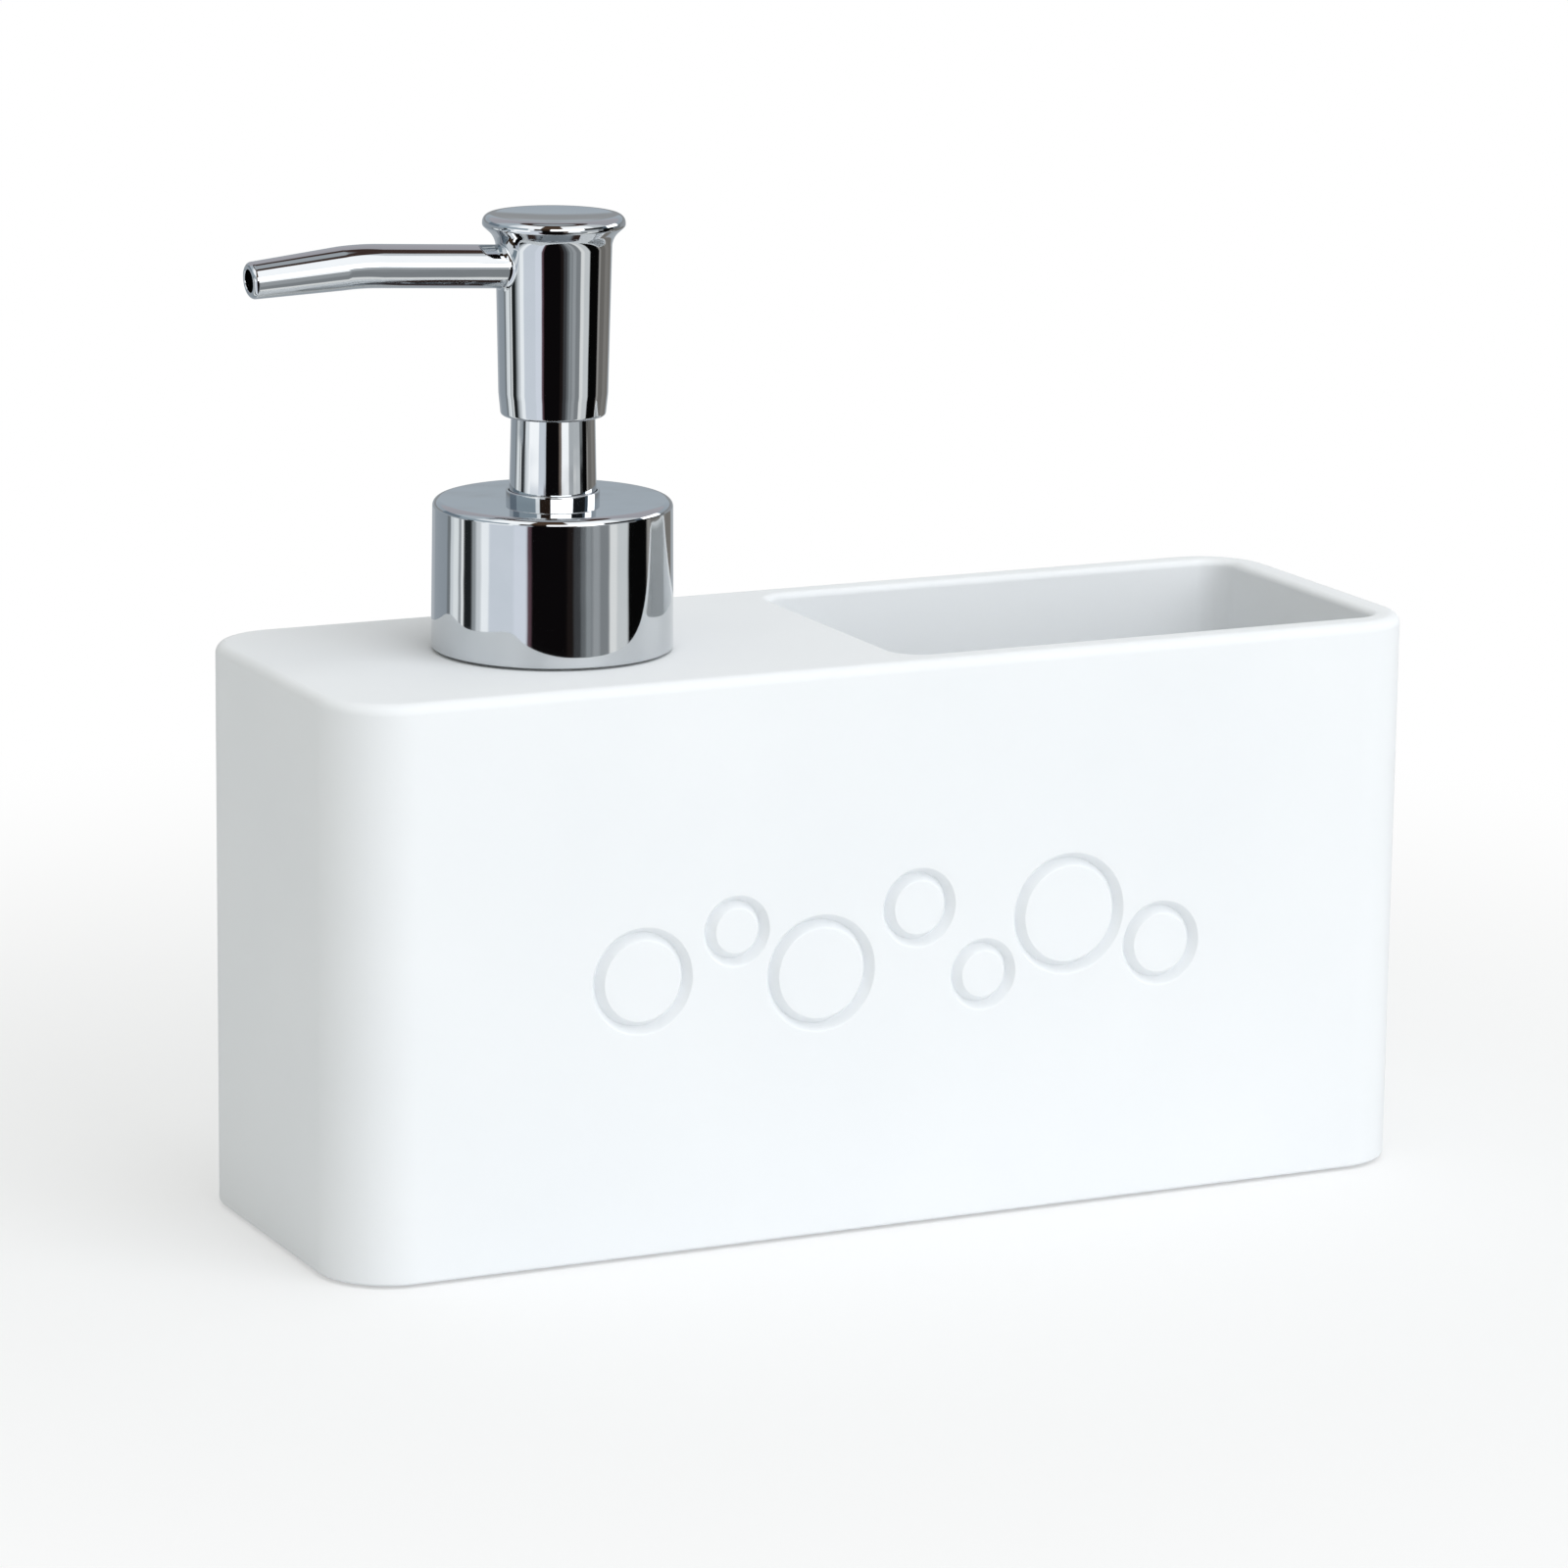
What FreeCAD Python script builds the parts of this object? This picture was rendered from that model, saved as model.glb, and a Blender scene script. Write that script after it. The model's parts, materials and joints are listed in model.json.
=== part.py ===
"""Soap pump caddy: a cast block with a soap chamber under a lotion pump and an open sponge slot.

Sizes are in millimetres. The ground is z = 0, the front face looks along -Y and the spout along -X.
"""
import FreeCAD, Part
import Sketcher
import math
import os
import re

# Driving dimensions, each with the name that the formulas below use.
SIZES = (
    # casting
    ("body_width", "160"),
    ("body_depth", "54"),
    ("body_height", "77.3"),
    ("corner_radius", "10"),
    ("wall", "4.5"),
    ("top_wall", "5"),
    ("partition", "5"),
    ("slot_length", "73.6"),
    ("slot_floor", "5"),
    ("slot_corner", "4"),
    ("slot_rim_round", "1"),
    ("slot_floor_round", "2"),
    ("chamber_corner", "6"),
    ("top_round", "1.5"),
    ("foot_bevel", "0.5"),
    # bubbles sunk into the front face
    ("motif_width", "90.5"),
    ("motif_height", "21"),
    ("groove_width", "1.8"),
    ("groove_depth", "0.8"),
    # plate and pad under the casting
    ("plate_thickness", "4"),
    ("plate_ledge", "1.5"),
    ("pad_inset", "2.5"),
    ("pad_recess", "1.2"),
    ("pad_proud", "0.4"),
    # threaded neck and its closure
    ("neck_bore_radius", "10.6"),
    ("neck_shank_wall", "1.3"),
    ("neck_wall", "1.9"),
    ("neck_flange_width", "2"),
    ("neck_flange_height", "1.2"),
    ("neck_height", "15"),
    ("thread_depth", "1.1"),
    ("thread_pitch", "4.2"),
    ("thread_base", "2.4"),
    ("thread_crest", "1.2"),
    ("thread_turns", "1.5"),
    ("thread_lift", "2.4"),
    ("gasket_thickness", "1.2"),
    ("cap_wall", "1.3"),
    ("collar_wall", "0.9"),
    ("collar_round", "1"),
    ("lip_height", "1.2"),
    ("lip_wall", "0.5"),
    # barrel and valves
    ("housing_flange_inset", "0.2"),
    ("housing_flange_height", "1.5"),
    ("barrel_wall", "1.2"),
    ("spring_seat_depth", "33"),
    ("well_depth", "4.2"),
    ("orifice_radius", "1.6"),
    ("orifice_length", "1.2"),
    ("socket_depth", "6.5"),
    ("inlet_ball_radius", "2.6"),
    ("inlet_ball_room", "0.8"),
    ("cage_height", "1.2"),
    ("cage_hole_radius", "0.9"),
    ("dip_radius", "3"),
    ("dip_wall", "1"),
    ("dip_clearance", "3"),
    ("bush_wall", "1.05"),
    ("bush_flange_width", "1.05"),
    ("bush_flange_height", "1.3"),
    ("bush_foot_height", "2"),
    # piston, spring and stem
    ("piston_height", "5.7"),
    ("piston_waist", "0.75"),
    ("piston_lip", "1.4"),
    ("spring_gap", "0.95"),
    ("spring_room", "0.55"),
    ("spring_wire", "0.9"),
    ("spring_turns", "9.5"),
    ("rod_bore_radius", "1.3"),
    ("rod_wall", "1.7"),
    ("rod_seat_width", "1"),
    ("rod_head_width", "1.2"),
    ("rod_head_height", "2"),
    ("rod_shoulder_height", "1.2"),
    ("rod_drop", "6.1"),
    ("outlet_ball_radius", "2.1"),
    ("outlet_ball_room", "0.5"),
    ("stem_radius", "5.8"),
    ("sleeve_wall", "1"),
    ("sleeve_seat", "5.6"),
    ("stem_show", "10"),
    # head and spout
    ("head_length", "26.7"),
    ("skirt_foot_wall", "0.5"),
    ("skirt_foot_round", "0.7"),
    ("skirt_draw", "0.31"),
    ("skirt_turn", "3"),
    ("skirt_round", "8"),
    ("skirt_taper", "0.44"),
    ("flare_height", "1.6"),
    ("flare_width", "1.74"),
    ("flare_round", "2.5"),
    ("rim_height", "1.5"),
    ("rim_under_round", "0.35"),
    ("rim_round", "0.9"),
    ("press_thickness", "1.4"),
    ("dish_inset", "1.54"),
    ("dish_depth", "0.3"),
    ("core_wall", "0.55"),
    ("core_recess", "0.4"),
    ("spout_drop", "3.9"),
    ("spout_radius", "2.87"),
    ("spout_taper", "0.45"),
    ("spout_tip_round", "0.7"),
    ("spout_bore_radius", "1.35"),
    ("spout_seat", "3.2"),
    ("spout_straight", "27.6"),
    ("spout_bend", "3"),
    ("spout_tip_length", "15.4"),
    ("spout_rise_angle", "3.1"),
    ("spout_drop_angle", "4.4"),
    ("spout_boss_wall", "0.5"),
    ("spout_boss_reach", "0.7"),
    # clearances
    ("glue_gap", "0.1"),
    ("fit_gap", "0.05"),
    ("running_gap", "0.1"),
    ("seat_gap", "0.3"),
    ("thread_gap", "0.3"),
    ("collar_gap", "0.35"),
    ("free_gap", "0.4"),
)

# Levels and radii that follow from the driving dimensions.
DERIVED = {
    "top_face": "pad_proud + body_height",
    "slot_right": "body_width / 2 - wall",
    "slot_left": "slot_right - slot_length",
    "inner_depth": "body_depth / 2 - wall",
    "chamber_left": "-slot_right",
    "chamber_right": "slot_left - partition",
    "pump_axis": "(chamber_left + chamber_right) / 2",
    "ceiling": "top_face - top_wall",
    "plate_foot": "pad_proud + pad_recess",
    "plate_top": "plate_foot + plate_thickness",
    "plate_corner": "chamber_corner + plate_ledge",
    "pad_corner": "corner_radius - pad_inset",
    "front_centre": "pad_proud + body_height / 2",
    "thread_root_radius": "neck_bore_radius + neck_wall",
    "neck_hole_radius": "neck_bore_radius + neck_shank_wall + glue_gap",
    "neck_flange_radius": "thread_root_radius + neck_flange_width",
    "neck_flange_top": "top_face + neck_flange_height",
    "neck_rim": "top_face + neck_height",
    "male_start": "neck_flange_top + thread_lift",
    "female_start": "male_start + thread_pitch / 2",
    "thread_height": "thread_pitch * thread_turns",
    "flange_under": "neck_rim + gasket_thickness",
    "flange_top": "flange_under + housing_flange_height",
    "bush_top": "flange_top + bush_flange_height",
    "cap_base": "neck_flange_top + free_gap",
    "cap_top": "bush_top + seat_gap",
    "cap_bore": "thread_root_radius + thread_depth + thread_gap",
    "cap_radius": "cap_bore + cap_wall",
    "cap_mouth": "bush_flange_radius + free_gap",
    "collar_base": "top_face + collar_gap",
    "collar_top": "cap_top + collar_wall",
    "lip_top": "collar_top + lip_height",
    "collar_bore": "cap_radius + fit_gap",
    "collar_radius": "collar_bore + collar_wall",
    "stem_bore": "stem_radius + running_gap",
    "barrel_bore_radius": "stem_bore + bush_wall + fit_gap",
    "barrel_radius": "barrel_bore_radius + barrel_wall",
    "housing_flange_radius": "thread_root_radius - housing_flange_inset",
    "well_radius": "inlet_ball_radius + inlet_ball_room",
    "spring_seat": "top_face - spring_seat_depth",
    "seat_rim": "spring_seat - well_depth",
    "seat_foot": "seat_rim - (well_radius - orifice_radius)",
    "socket_roof": "seat_foot - orifice_length",
    "socket_mouth": "socket_roof - socket_depth",
    "socket_radius": "well_radius + barrel_wall",
    "inlet_ball_level": "seat_foot - orifice_radius + sqrt(2) * inlet_ball_radius + fit_gap",
    "cage_top": "spring_seat + cage_height",
    "cage_boss_top": "cage_top + cage_height",
    "spring_radius": "barrel_bore_radius - spring_gap - spring_wire / 2",
    "cage_boss_radius": "spring_radius - spring_wire / 2 - spring_room",
    "dip_foot": "plate_top + dip_clearance",
    "bush_foot": "top_face + bush_foot_height",
    "piston_top": "bush_foot - seat_gap",
    "piston_foot": "piston_top - piston_height",
    "seal_radius": "barrel_bore_radius - fit_gap",
    "bush_flange_radius": "seal_radius + bush_flange_width",
    "rod_radius": "rod_bore_radius + rod_wall",
    "rod_seat_radius": "rod_bore_radius + rod_seat_width",
    "rod_head_radius": "rod_radius + rod_head_width",
    "rod_shoulder_radius": "stem_radius - seat_gap",
    "shoulder_foot": "piston_top + running_gap",
    "shoulder_top": "shoulder_foot + rod_shoulder_height",
    "rod_head_top": "piston_foot - seat_gap",
    "rod_foot": "rod_head_top - rod_head_height",
    "head_foot": "lip_top + stem_show",
    "head_top": "head_foot + head_length",
    "sleeve_top": "head_foot + sleeve_seat",
    "core_foot": "head_foot + core_recess",
    "core_roof": "head_top - press_thickness",
    "core_radius": "stem_radius + fit_gap + core_wall",
    "core_chamber_radius": "outlet_ball_radius + outlet_ball_room",
    "spout_level": "flare_start - spout_drop",
    "rod_top": "spout_level - rod_drop",
    "outlet_ball_level": "rod_top - rod_seat_radius + sqrt(2) * outlet_ball_radius + fit_gap",
    "core_chamber_roof": "spout_level + spout_bore_radius + free_gap",
    "skirt_top": "head_foot + skirt_turn",
    "rim_under": "head_top - rim_height",
    "flare_start": "rim_under - flare_height",
    "skirt_foot_radius": "core_radius + fit_gap + skirt_foot_wall",
    "skirt_radius": "skirt_foot_radius + skirt_draw",
    "flare_start_radius": "skirt_radius + skirt_taper",
    "rim_radius": "flare_start_radius + flare_width",
    "dish_radius": "rim_radius - dish_inset",
    "spout_tip_radius": "spout_radius - spout_taper",
    "spout_hole_radius": "spout_radius + fit_gap",
    "bend_reach": "spout_straight * cos(spout_rise_angle)",
    "bend_level": "spout_level + spout_straight * sin(spout_rise_angle)",
}

# Bubbles of the front motif: centre across and up, as shares of the motif's half sizes, and radius
# as a share of its half height.
BUBBLES = (
    (-0.84, -0.10, 0.69),
    (-0.54, 0.42, 0.46),
    (-0.265, -0.24, 0.76),
    (0.055, 0.48, 0.52),
    (0.27, -0.48, 0.47),
    (0.555, 0.20, 0.80),
    (0.87, -0.32, 0.56),
)

ANGLES = ("spout_rise_angle", "spout_drop_angle")
NAMES = {name for name, _ in SIZES}

doc = FreeCAD.newDocument("soap_pump_caddy")
sheet = doc.addObject("Spreadsheet::Sheet", "Sizes")
for row, (name, value) in enumerate(SIZES, start=1):
    sheet.set(f"A{row}", value)
    sheet.setAlias(f"A{row}", name)
doc.recompute()
parts = []


def formula(text):
    """The text with every name replaced by its cell, or by the formula that it stands for."""
    def cell(match):
        name = match.group(0)
        if name in DERIVED:
            return f"({formula(DERIVED[name])})"
        if name in ANGLES:
            return f"(Sizes.{name} * 1 deg)"
        if name in NAMES:
            return f"Sizes.{name}"
        return name
    return re.sub(r"[a-z_]{4,}", cell, text)


def number(text):
    """The present value of a formula."""
    value = sheet.evalExpression(formula(text))
    return float(getattr(value, "Value", value))


def bind(item, path, text):
    """Makes a property follow a formula."""
    item.setExpression(path, formula(text))


def new_body(label, on_pump_axis=True):
    """An empty body; the pump's bodies stand on the pump's axis."""
    body = doc.addObject("PartDesign::Body", label)
    if on_pump_axis:
        bind(body, "Placement.Base.x", "pump_axis")
    parts.append(body)
    return body


def new_sketch(body, name, plane, offset="0"):
    """An empty sketch on one of the body's own planes, moved along that plane's normal."""
    sketch = body.newObject("Sketcher::SketchObject", name)
    support = [item for item in body.Origin.OriginFeatures if item.Role == plane]
    sketch.AttachmentSupport = [(support[0], "")]
    sketch.MapMode = "FlatFace"
    bind(sketch, "AttachmentOffset.Base.z", offset)
    return sketch


def constrain(sketch, kind, *places, size):
    """Adds a dimension that follows a formula."""
    index = sketch.addConstraint(Sketcher.Constraint(kind, *places, number(size)))
    bind(sketch, f"Constraints[{index}]", size)


def hold_point(sketch, side, end, across, up):
    """Ties a point of the sketch to its origin."""
    if across == "0":
        sketch.addConstraint(Sketcher.Constraint("PointOnObject", side, end, -2))
    else:
        constrain(sketch, "DistanceX", -1, 1, side, end, size=across)
    if up == "0":
        sketch.addConstraint(Sketcher.Constraint("PointOnObject", side, end, -1))
    else:
        constrain(sketch, "DistanceY", -1, 1, side, end, size=up)


def corner_arc(before, corner, after, radius):
    """The arc that rounds a corner, and whether it runs the way of the outline."""
    back = (before - corner).normalize()
    ahead = (after - corner).normalize()
    half_angle = back.getAngle(ahead) / 2
    centre = corner + (back + ahead).normalize() * (radius / math.sin(half_angle))
    touch = radius / math.tan(half_angle)
    angles = []
    for direction in (back, ahead):
        spoke = corner + direction * touch - centre
        angles.append(math.atan2(spoke.y, spoke.x))
    forward = ahead.cross(back).z > 0
    first, last = angles if forward else reversed(angles)
    circle = Part.Circle(centre, FreeCAD.Vector(0, 0, 1), radius)
    return Part.ArcOfCircle(circle, first, last if last > first else last + math.tau), forward


def polygon(sketch, points):
    """A closed outline of straight sides; a third value rounds a corner."""
    corners = [FreeCAD.Vector(number(point[0]), number(point[1]), 0) for point in points]
    count = len(corners)
    for side in range(count):
        sketch.addGeometry(Part.LineSegment(corners[side], corners[(side + 1) % count]), False)
    for side, (across, up, *rounding) in enumerate(points):
        before = (side - 1) % count
        if not rounding:
            sketch.addConstraint(Sketcher.Constraint("Coincident", before, 2, side, 1))
            hold_point(sketch, side, 1, across, up)
            continue
        after = (side + 1) % count
        arc, forward = corner_arc(corners[before], corners[side], corners[after], number(rounding[0]))
        bend = sketch.addGeometry(arc, False)
        apex = sketch.addGeometry(Part.Point(corners[side]), True)
        first, last = (1, 2) if forward else (2, 1)
        sketch.addConstraint(Sketcher.Constraint("PointOnObject", apex, 1, before))
        sketch.addConstraint(Sketcher.Constraint("PointOnObject", apex, 1, side))
        hold_point(sketch, apex, 1, across, up)
        sketch.addConstraint(Sketcher.Constraint("Tangent", before, 2, bend, first))
        sketch.addConstraint(Sketcher.Constraint("Tangent", bend, last, side, 1))
        constrain(sketch, "Radius", bend, size=rounding[0])


def rounded_rectangle(sketch, left, right, half_depth, corner):
    """A rectangle with round corners, symmetric front to back."""
    x_low, x_high, y_high, radius = number(left), number(right), number(half_depth), number(corner)
    x_ends = (x_low + radius, x_high - radius)
    y_ends = (radius - y_high, y_high - radius)
    centres = (
        (x_ends[1], y_ends[0]), (x_ends[1], y_ends[1]),
        (x_ends[0], y_ends[1]), (x_ends[0], y_ends[0]),
    )
    sides = (
        ((x_ends[0], -y_high), (x_ends[1], -y_high)),
        ((x_high, y_ends[0]), (x_high, y_ends[1])),
        ((x_ends[1], y_high), (x_ends[0], y_high)),
        ((x_low, y_ends[1]), (x_low, y_ends[0])),
    )
    for turn, (side, centre) in enumerate(zip(sides, centres)):
        start, end = (FreeCAD.Vector(*point, 0) for point in side)
        sketch.addGeometry(Part.LineSegment(start, end), False)
        circle = Part.Circle(FreeCAD.Vector(*centre, 0), FreeCAD.Vector(0, 0, 1), radius)
        angle = math.pi / 2 * (turn - 1)
        sketch.addGeometry(Part.ArcOfCircle(circle, angle, angle + math.pi / 2), False)
    for item in range(8):
        sketch.addConstraint(Sketcher.Constraint("Tangent", item, 2, (item + 1) % 8, 1))
    for item, kind in ((0, "Horizontal"), (2, "Vertical"), (4, "Horizontal"), (6, "Vertical")):
        sketch.addConstraint(Sketcher.Constraint(kind, item))
    for item in (3, 5, 7):
        sketch.addConstraint(Sketcher.Constraint("Equal", 1, item))
    constrain(sketch, "Radius", 1, size=corner)
    constrain(sketch, "DistanceX", -1, 1, 6, 1, size=left)
    constrain(sketch, "DistanceX", -1, 1, 2, 1, size=right)
    constrain(sketch, "DistanceY", -1, 1, 4, 1, size=half_depth)
    constrain(sketch, "DistanceY", -1, 1, 0, 1, size=f"-({half_depth})")


def add_circle(sketch, across, up, radius):
    """A circle held by its centre and radius."""
    centre = FreeCAD.Vector(number(across), number(up), 0)
    item = sketch.addGeometry(Part.Circle(centre, FreeCAD.Vector(0, 0, 1), number(radius)), False)
    constrain(sketch, "Radius", item, size=radius)
    hold_point(sketch, item, 3, across, up)


def add_feature(body, kind, name, sketch, **sizes):
    """A feature made from a sketch, with its sizes bound to formulas."""
    feature = body.newObject(f"PartDesign::{kind}", name)
    feature.Profile = sketch
    for path, text in sizes.items():
        bind(feature, path, text)
    doc.recompute()
    return feature


def revolve(label, points):
    """A body turned from one closed outline about the pump's axis."""
    body = new_body(label)
    sketch = new_sketch(body, f"{label}_outline", "XZ_Plane")
    polygon(sketch, points)
    turned = body.newObject("PartDesign::Revolution", f"{label}_turned")
    turned.Profile = sketch
    turned.ReferenceAxis = (sketch, ["V_Axis"])
    turned.Angle = 360
    doc.recompute()
    return body


def thread(body, root, crest, start):
    """A helical ridge; its root lies inside the wall that carries it."""
    sketch = new_sketch(body, f"{body.Name}_ridge", "XZ_Plane")
    polygon(sketch, (
        (root, f"{start} - thread_base / 2"),
        (crest, f"{start} - thread_crest / 2"),
        (crest, f"{start} + thread_crest / 2"),
        (root, f"{start} + thread_base / 2"),
    ))
    ridge = body.newObject("PartDesign::AdditiveHelix", f"{body.Name}_thread")
    ridge.Profile = sketch
    ridge.ReferenceAxis = (sketch, ["V_Axis"])
    ridge.Mode = 0
    bind(ridge, "Pitch", "thread_pitch")
    bind(ridge, "Height", "thread_height")
    doc.recompute()


def edges_inside(body, across, depth, low, high):
    """Names of the edges that lie in a box centred front to back."""
    x_low, x_high = (number(text) - 0.01 for text in across)
    y_high = number(depth) + 0.01
    z_low, z_high = number(low) - 0.01, number(high) + 0.01
    names = []
    for index, edge in enumerate(body.Tip.Shape.Edges, start=1):
        box = edge.BoundBox
        inside_x = box.XMin > x_low and box.XMax < x_high + 0.02
        inside_y = box.YMin > -y_high and box.YMax < y_high
        if inside_x and inside_y and box.ZMin > z_low and box.ZMax < z_high:
            names.append(f"Edge{index}")
    return names


def soften(body, name, edges, kind, path, text):
    """Rounds or bevels the named edges of the body as it stands."""
    base = body.Tip
    feature = body.newObject(f"PartDesign::{kind}", name)
    feature.Base = (base, edges)
    bind(feature, path, text)
    doc.recompute()


def add_rod(body, kind, name, radius, start, end):
    """A cylinder along the straight part of the spout, between two distances from the pump's axis."""
    rod = body.newObject(f"PartDesign::{kind}Cylinder", name)
    support = [item for item in body.Origin.OriginFeatures if item.Role == "YZ_Plane"]
    rod.AttachmentSupport = [(support[0], "")]
    rod.MapMode = "FlatFace"
    rod.AttachmentOffset = FreeCAD.Placement(FreeCAD.Vector(), FreeCAD.Vector(1, 0, 0), 1)
    bind(rod, "AttachmentOffset.Base.z", f"-({end}) * cos(spout_rise_angle)")
    bind(rod, "AttachmentOffset.Base.y", f"spout_level + ({end}) * sin(spout_rise_angle)")
    bind(rod, "AttachmentOffset.Rotation.Angle", "spout_rise_angle")
    bind(rod, "Radius", radius)
    bind(rod, "Height", f"{end} - ({start})")
    doc.recompute()


# Casting: a block with the soap chamber opened from below and the sponge slot from above.
block = new_body("caddy_body", on_pump_axis=False)
outline = new_sketch(block, "block_outline", "XY_Plane", "pad_proud")
rounded_rectangle(outline, "-body_width / 2", "body_width / 2", "body_depth / 2", "corner_radius")
add_feature(block, "Pad", "block", outline, Length="body_height")
whole = (("-body_width / 2", "body_width / 2"), "body_depth / 2")
soften(block, "top_rounding", edges_inside(block, *whole, "top_face", "top_face"),
       "Fillet", "Radius", "top_round")
soften(block, "foot_edge", edges_inside(block, *whole, "pad_proud", "pad_proud"),
       "Chamfer", "Size", "foot_bevel")

slot = new_sketch(block, "slot_outline", "XY_Plane", "top_face")
rounded_rectangle(slot, "slot_left", "slot_right", "inner_depth", "slot_corner")
add_feature(block, "Pocket", "slot", slot, Length="body_height - slot_floor")
slot_area = (("slot_left", "slot_right"), "inner_depth")
soften(block, "slot_rim", edges_inside(block, *slot_area, "top_face", "top_face"),
       "Fillet", "Radius", "slot_rim_round")
slot_foot = "pad_proud + slot_floor"
soften(block, "slot_foot", edges_inside(block, *slot_area, slot_foot, slot_foot),
       "Fillet", "Radius", "slot_floor_round")

chamber = new_sketch(block, "chamber_outline", "XY_Plane", "ceiling")
rounded_rectangle(chamber, "chamber_left", "chamber_right", "inner_depth", "chamber_corner")
add_feature(block, "Pocket", "chamber", chamber, Length="body_height - top_wall")
rebate = new_sketch(block, "rebate_outline", "XY_Plane", "plate_top")
rounded_rectangle(rebate, "chamber_left - plate_ledge", "chamber_right + plate_ledge",
                  "inner_depth + plate_ledge", "plate_corner")
add_feature(block, "Pocket", "rebate", rebate, Length="plate_thickness + pad_recess")
recess = new_sketch(block, "recess_outline", "XY_Plane", "plate_foot")
rounded_rectangle(recess, "pad_inset - body_width / 2", "body_width / 2 - pad_inset",
                  "body_depth / 2 - pad_inset", "pad_corner")
add_feature(block, "Pocket", "recess", recess, Length="pad_recess")
neck_hole = new_sketch(block, "neck_hole_outline", "XY_Plane", "top_face")
add_circle(neck_hole, "pump_axis", "0", "neck_hole_radius")
add_feature(block, "Pocket", "neck_hole", neck_hole, Length="top_wall")

motif = new_sketch(block, "motif_outline", "XZ_Plane", "body_depth / 2")
for across_share, up_share, radius_share in BUBBLES:
    across = f"motif_width / 2 * {across_share}"
    up = f"front_centre + motif_height / 2 * {up_share}"
    outer = f"motif_height / 2 * {radius_share}"
    add_circle(motif, across, up, outer)
    add_circle(motif, across, up, f"{outer} - groove_width")
add_feature(block, "Pocket", "motif", motif, Length="groove_depth")

# Plate that closes the chamber, and the pad that covers plate and casting.
plate = new_body("base_plate", on_pump_axis=False)
outline = new_sketch(plate, "plate_outline", "XY_Plane", "plate_foot")
rounded_rectangle(outline, "chamber_left - plate_ledge + glue_gap", "chamber_right + plate_ledge - glue_gap",
                  "inner_depth + plate_ledge - glue_gap", "plate_corner - glue_gap")
add_feature(plate, "Pad", "plate", outline, Length="plate_thickness")

pad = new_body("base_pad", on_pump_axis=False)
outline = new_sketch(pad, "pad_outline", "XY_Plane")
rounded_rectangle(outline, "pad_inset + seat_gap - body_width / 2", "body_width / 2 - pad_inset - seat_gap",
                  "body_depth / 2 - pad_inset - seat_gap", "pad_corner - seat_gap")
add_feature(pad, "Pad", "pad", outline, Length="plate_foot")

# Neck glued into the top hole, with its gasket.
neck = revolve("neck_insert", (
    ("neck_bore_radius", "ceiling"),
    ("neck_hole_radius - glue_gap", "ceiling"),
    ("neck_hole_radius - glue_gap", "top_face"),
    ("neck_flange_radius", "top_face"),
    ("neck_flange_radius", "neck_flange_top"),
    ("thread_root_radius", "neck_flange_top"),
    ("thread_root_radius", "neck_rim"),
    ("neck_bore_radius", "neck_rim"),
))
thread(neck, "thread_root_radius - thread_gap", "thread_root_radius + thread_depth", "male_start")
revolve("neck_gasket", (
    ("barrel_radius + free_gap", "neck_rim"),
    ("thread_root_radius", "neck_rim"),
    ("thread_root_radius", "flange_under"),
    ("barrel_radius + free_gap", "flange_under"),
))

# Closure: threaded cap inside a bright collar.
cap = revolve("screw_cap", (
    ("cap_bore", "cap_base"),
    ("cap_radius", "cap_base"),
    ("cap_radius", "cap_top"),
    ("cap_mouth", "cap_top"),
    ("cap_mouth", "flange_top"),
    ("cap_bore", "flange_top"),
))
thread(cap, "cap_bore + thread_gap", "thread_root_radius + thread_gap", "female_start")
revolve("collar_shell", (
    ("collar_bore", "collar_base"),
    ("collar_radius", "collar_base"),
    ("collar_radius", "collar_top", "collar_round"),
    ("stem_bore + lip_wall", "collar_top"),
    ("stem_bore + lip_wall", "lip_top", "lip_wall / 2"),
    ("stem_bore", "lip_top"),
    ("stem_bore", "cap_top"),
    ("collar_bore", "cap_top"),
))

# Barrel with its inlet valve, spring seat, suction tube and guide bush.
revolve("pump_housing", (
    ("barrel_bore_radius", "flange_top"),
    ("barrel_bore_radius", "spring_seat"),
    ("well_radius", "spring_seat"),
    ("well_radius", "seat_rim"),
    ("orifice_radius", "seat_foot"),
    ("orifice_radius", "socket_roof"),
    ("dip_radius + fit_gap", "socket_roof"),
    ("dip_radius + fit_gap", "socket_mouth"),
    ("socket_radius", "socket_mouth"),
    ("socket_radius", "seat_rim"),
    ("barrel_radius", "spring_seat - barrel_wall"),
    ("barrel_radius", "flange_under"),
    ("housing_flange_radius", "flange_under"),
    ("housing_flange_radius", "flange_top"),
))
cage = revolve("ball_cage", (
    ("0", "spring_seat"),
    ("barrel_bore_radius - seat_gap", "spring_seat"),
    ("barrel_bore_radius - seat_gap", "cage_top"),
    ("cage_boss_radius", "cage_top"),
    ("cage_boss_radius", "cage_boss_top"),
    ("0", "cage_boss_top"),
))
flow_hole = new_sketch(cage, "flow_hole_outline", "XY_Plane", "cage_boss_top")
add_circle(flow_hole, "cage_boss_radius / 2", "0", "cage_hole_radius")
first_hole = add_feature(cage, "Pocket", "flow_hole", flow_hole, Length="cage_height * 2")
holes = cage.newObject("PartDesign::PolarPattern", "flow_holes")
holes.Originals = [first_hole]
holes.Axis = (flow_hole, ["N_Axis"])
holes.Angle = 360
cage.Tip = holes
holes.Occurrences = 4
doc.recompute()
revolve("dip_tube", (
    ("dip_radius - dip_wall", "dip_foot"),
    ("dip_radius", "dip_foot"),
    ("dip_radius", "socket_roof"),
    ("dip_radius - dip_wall", "socket_roof"),
))
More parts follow.
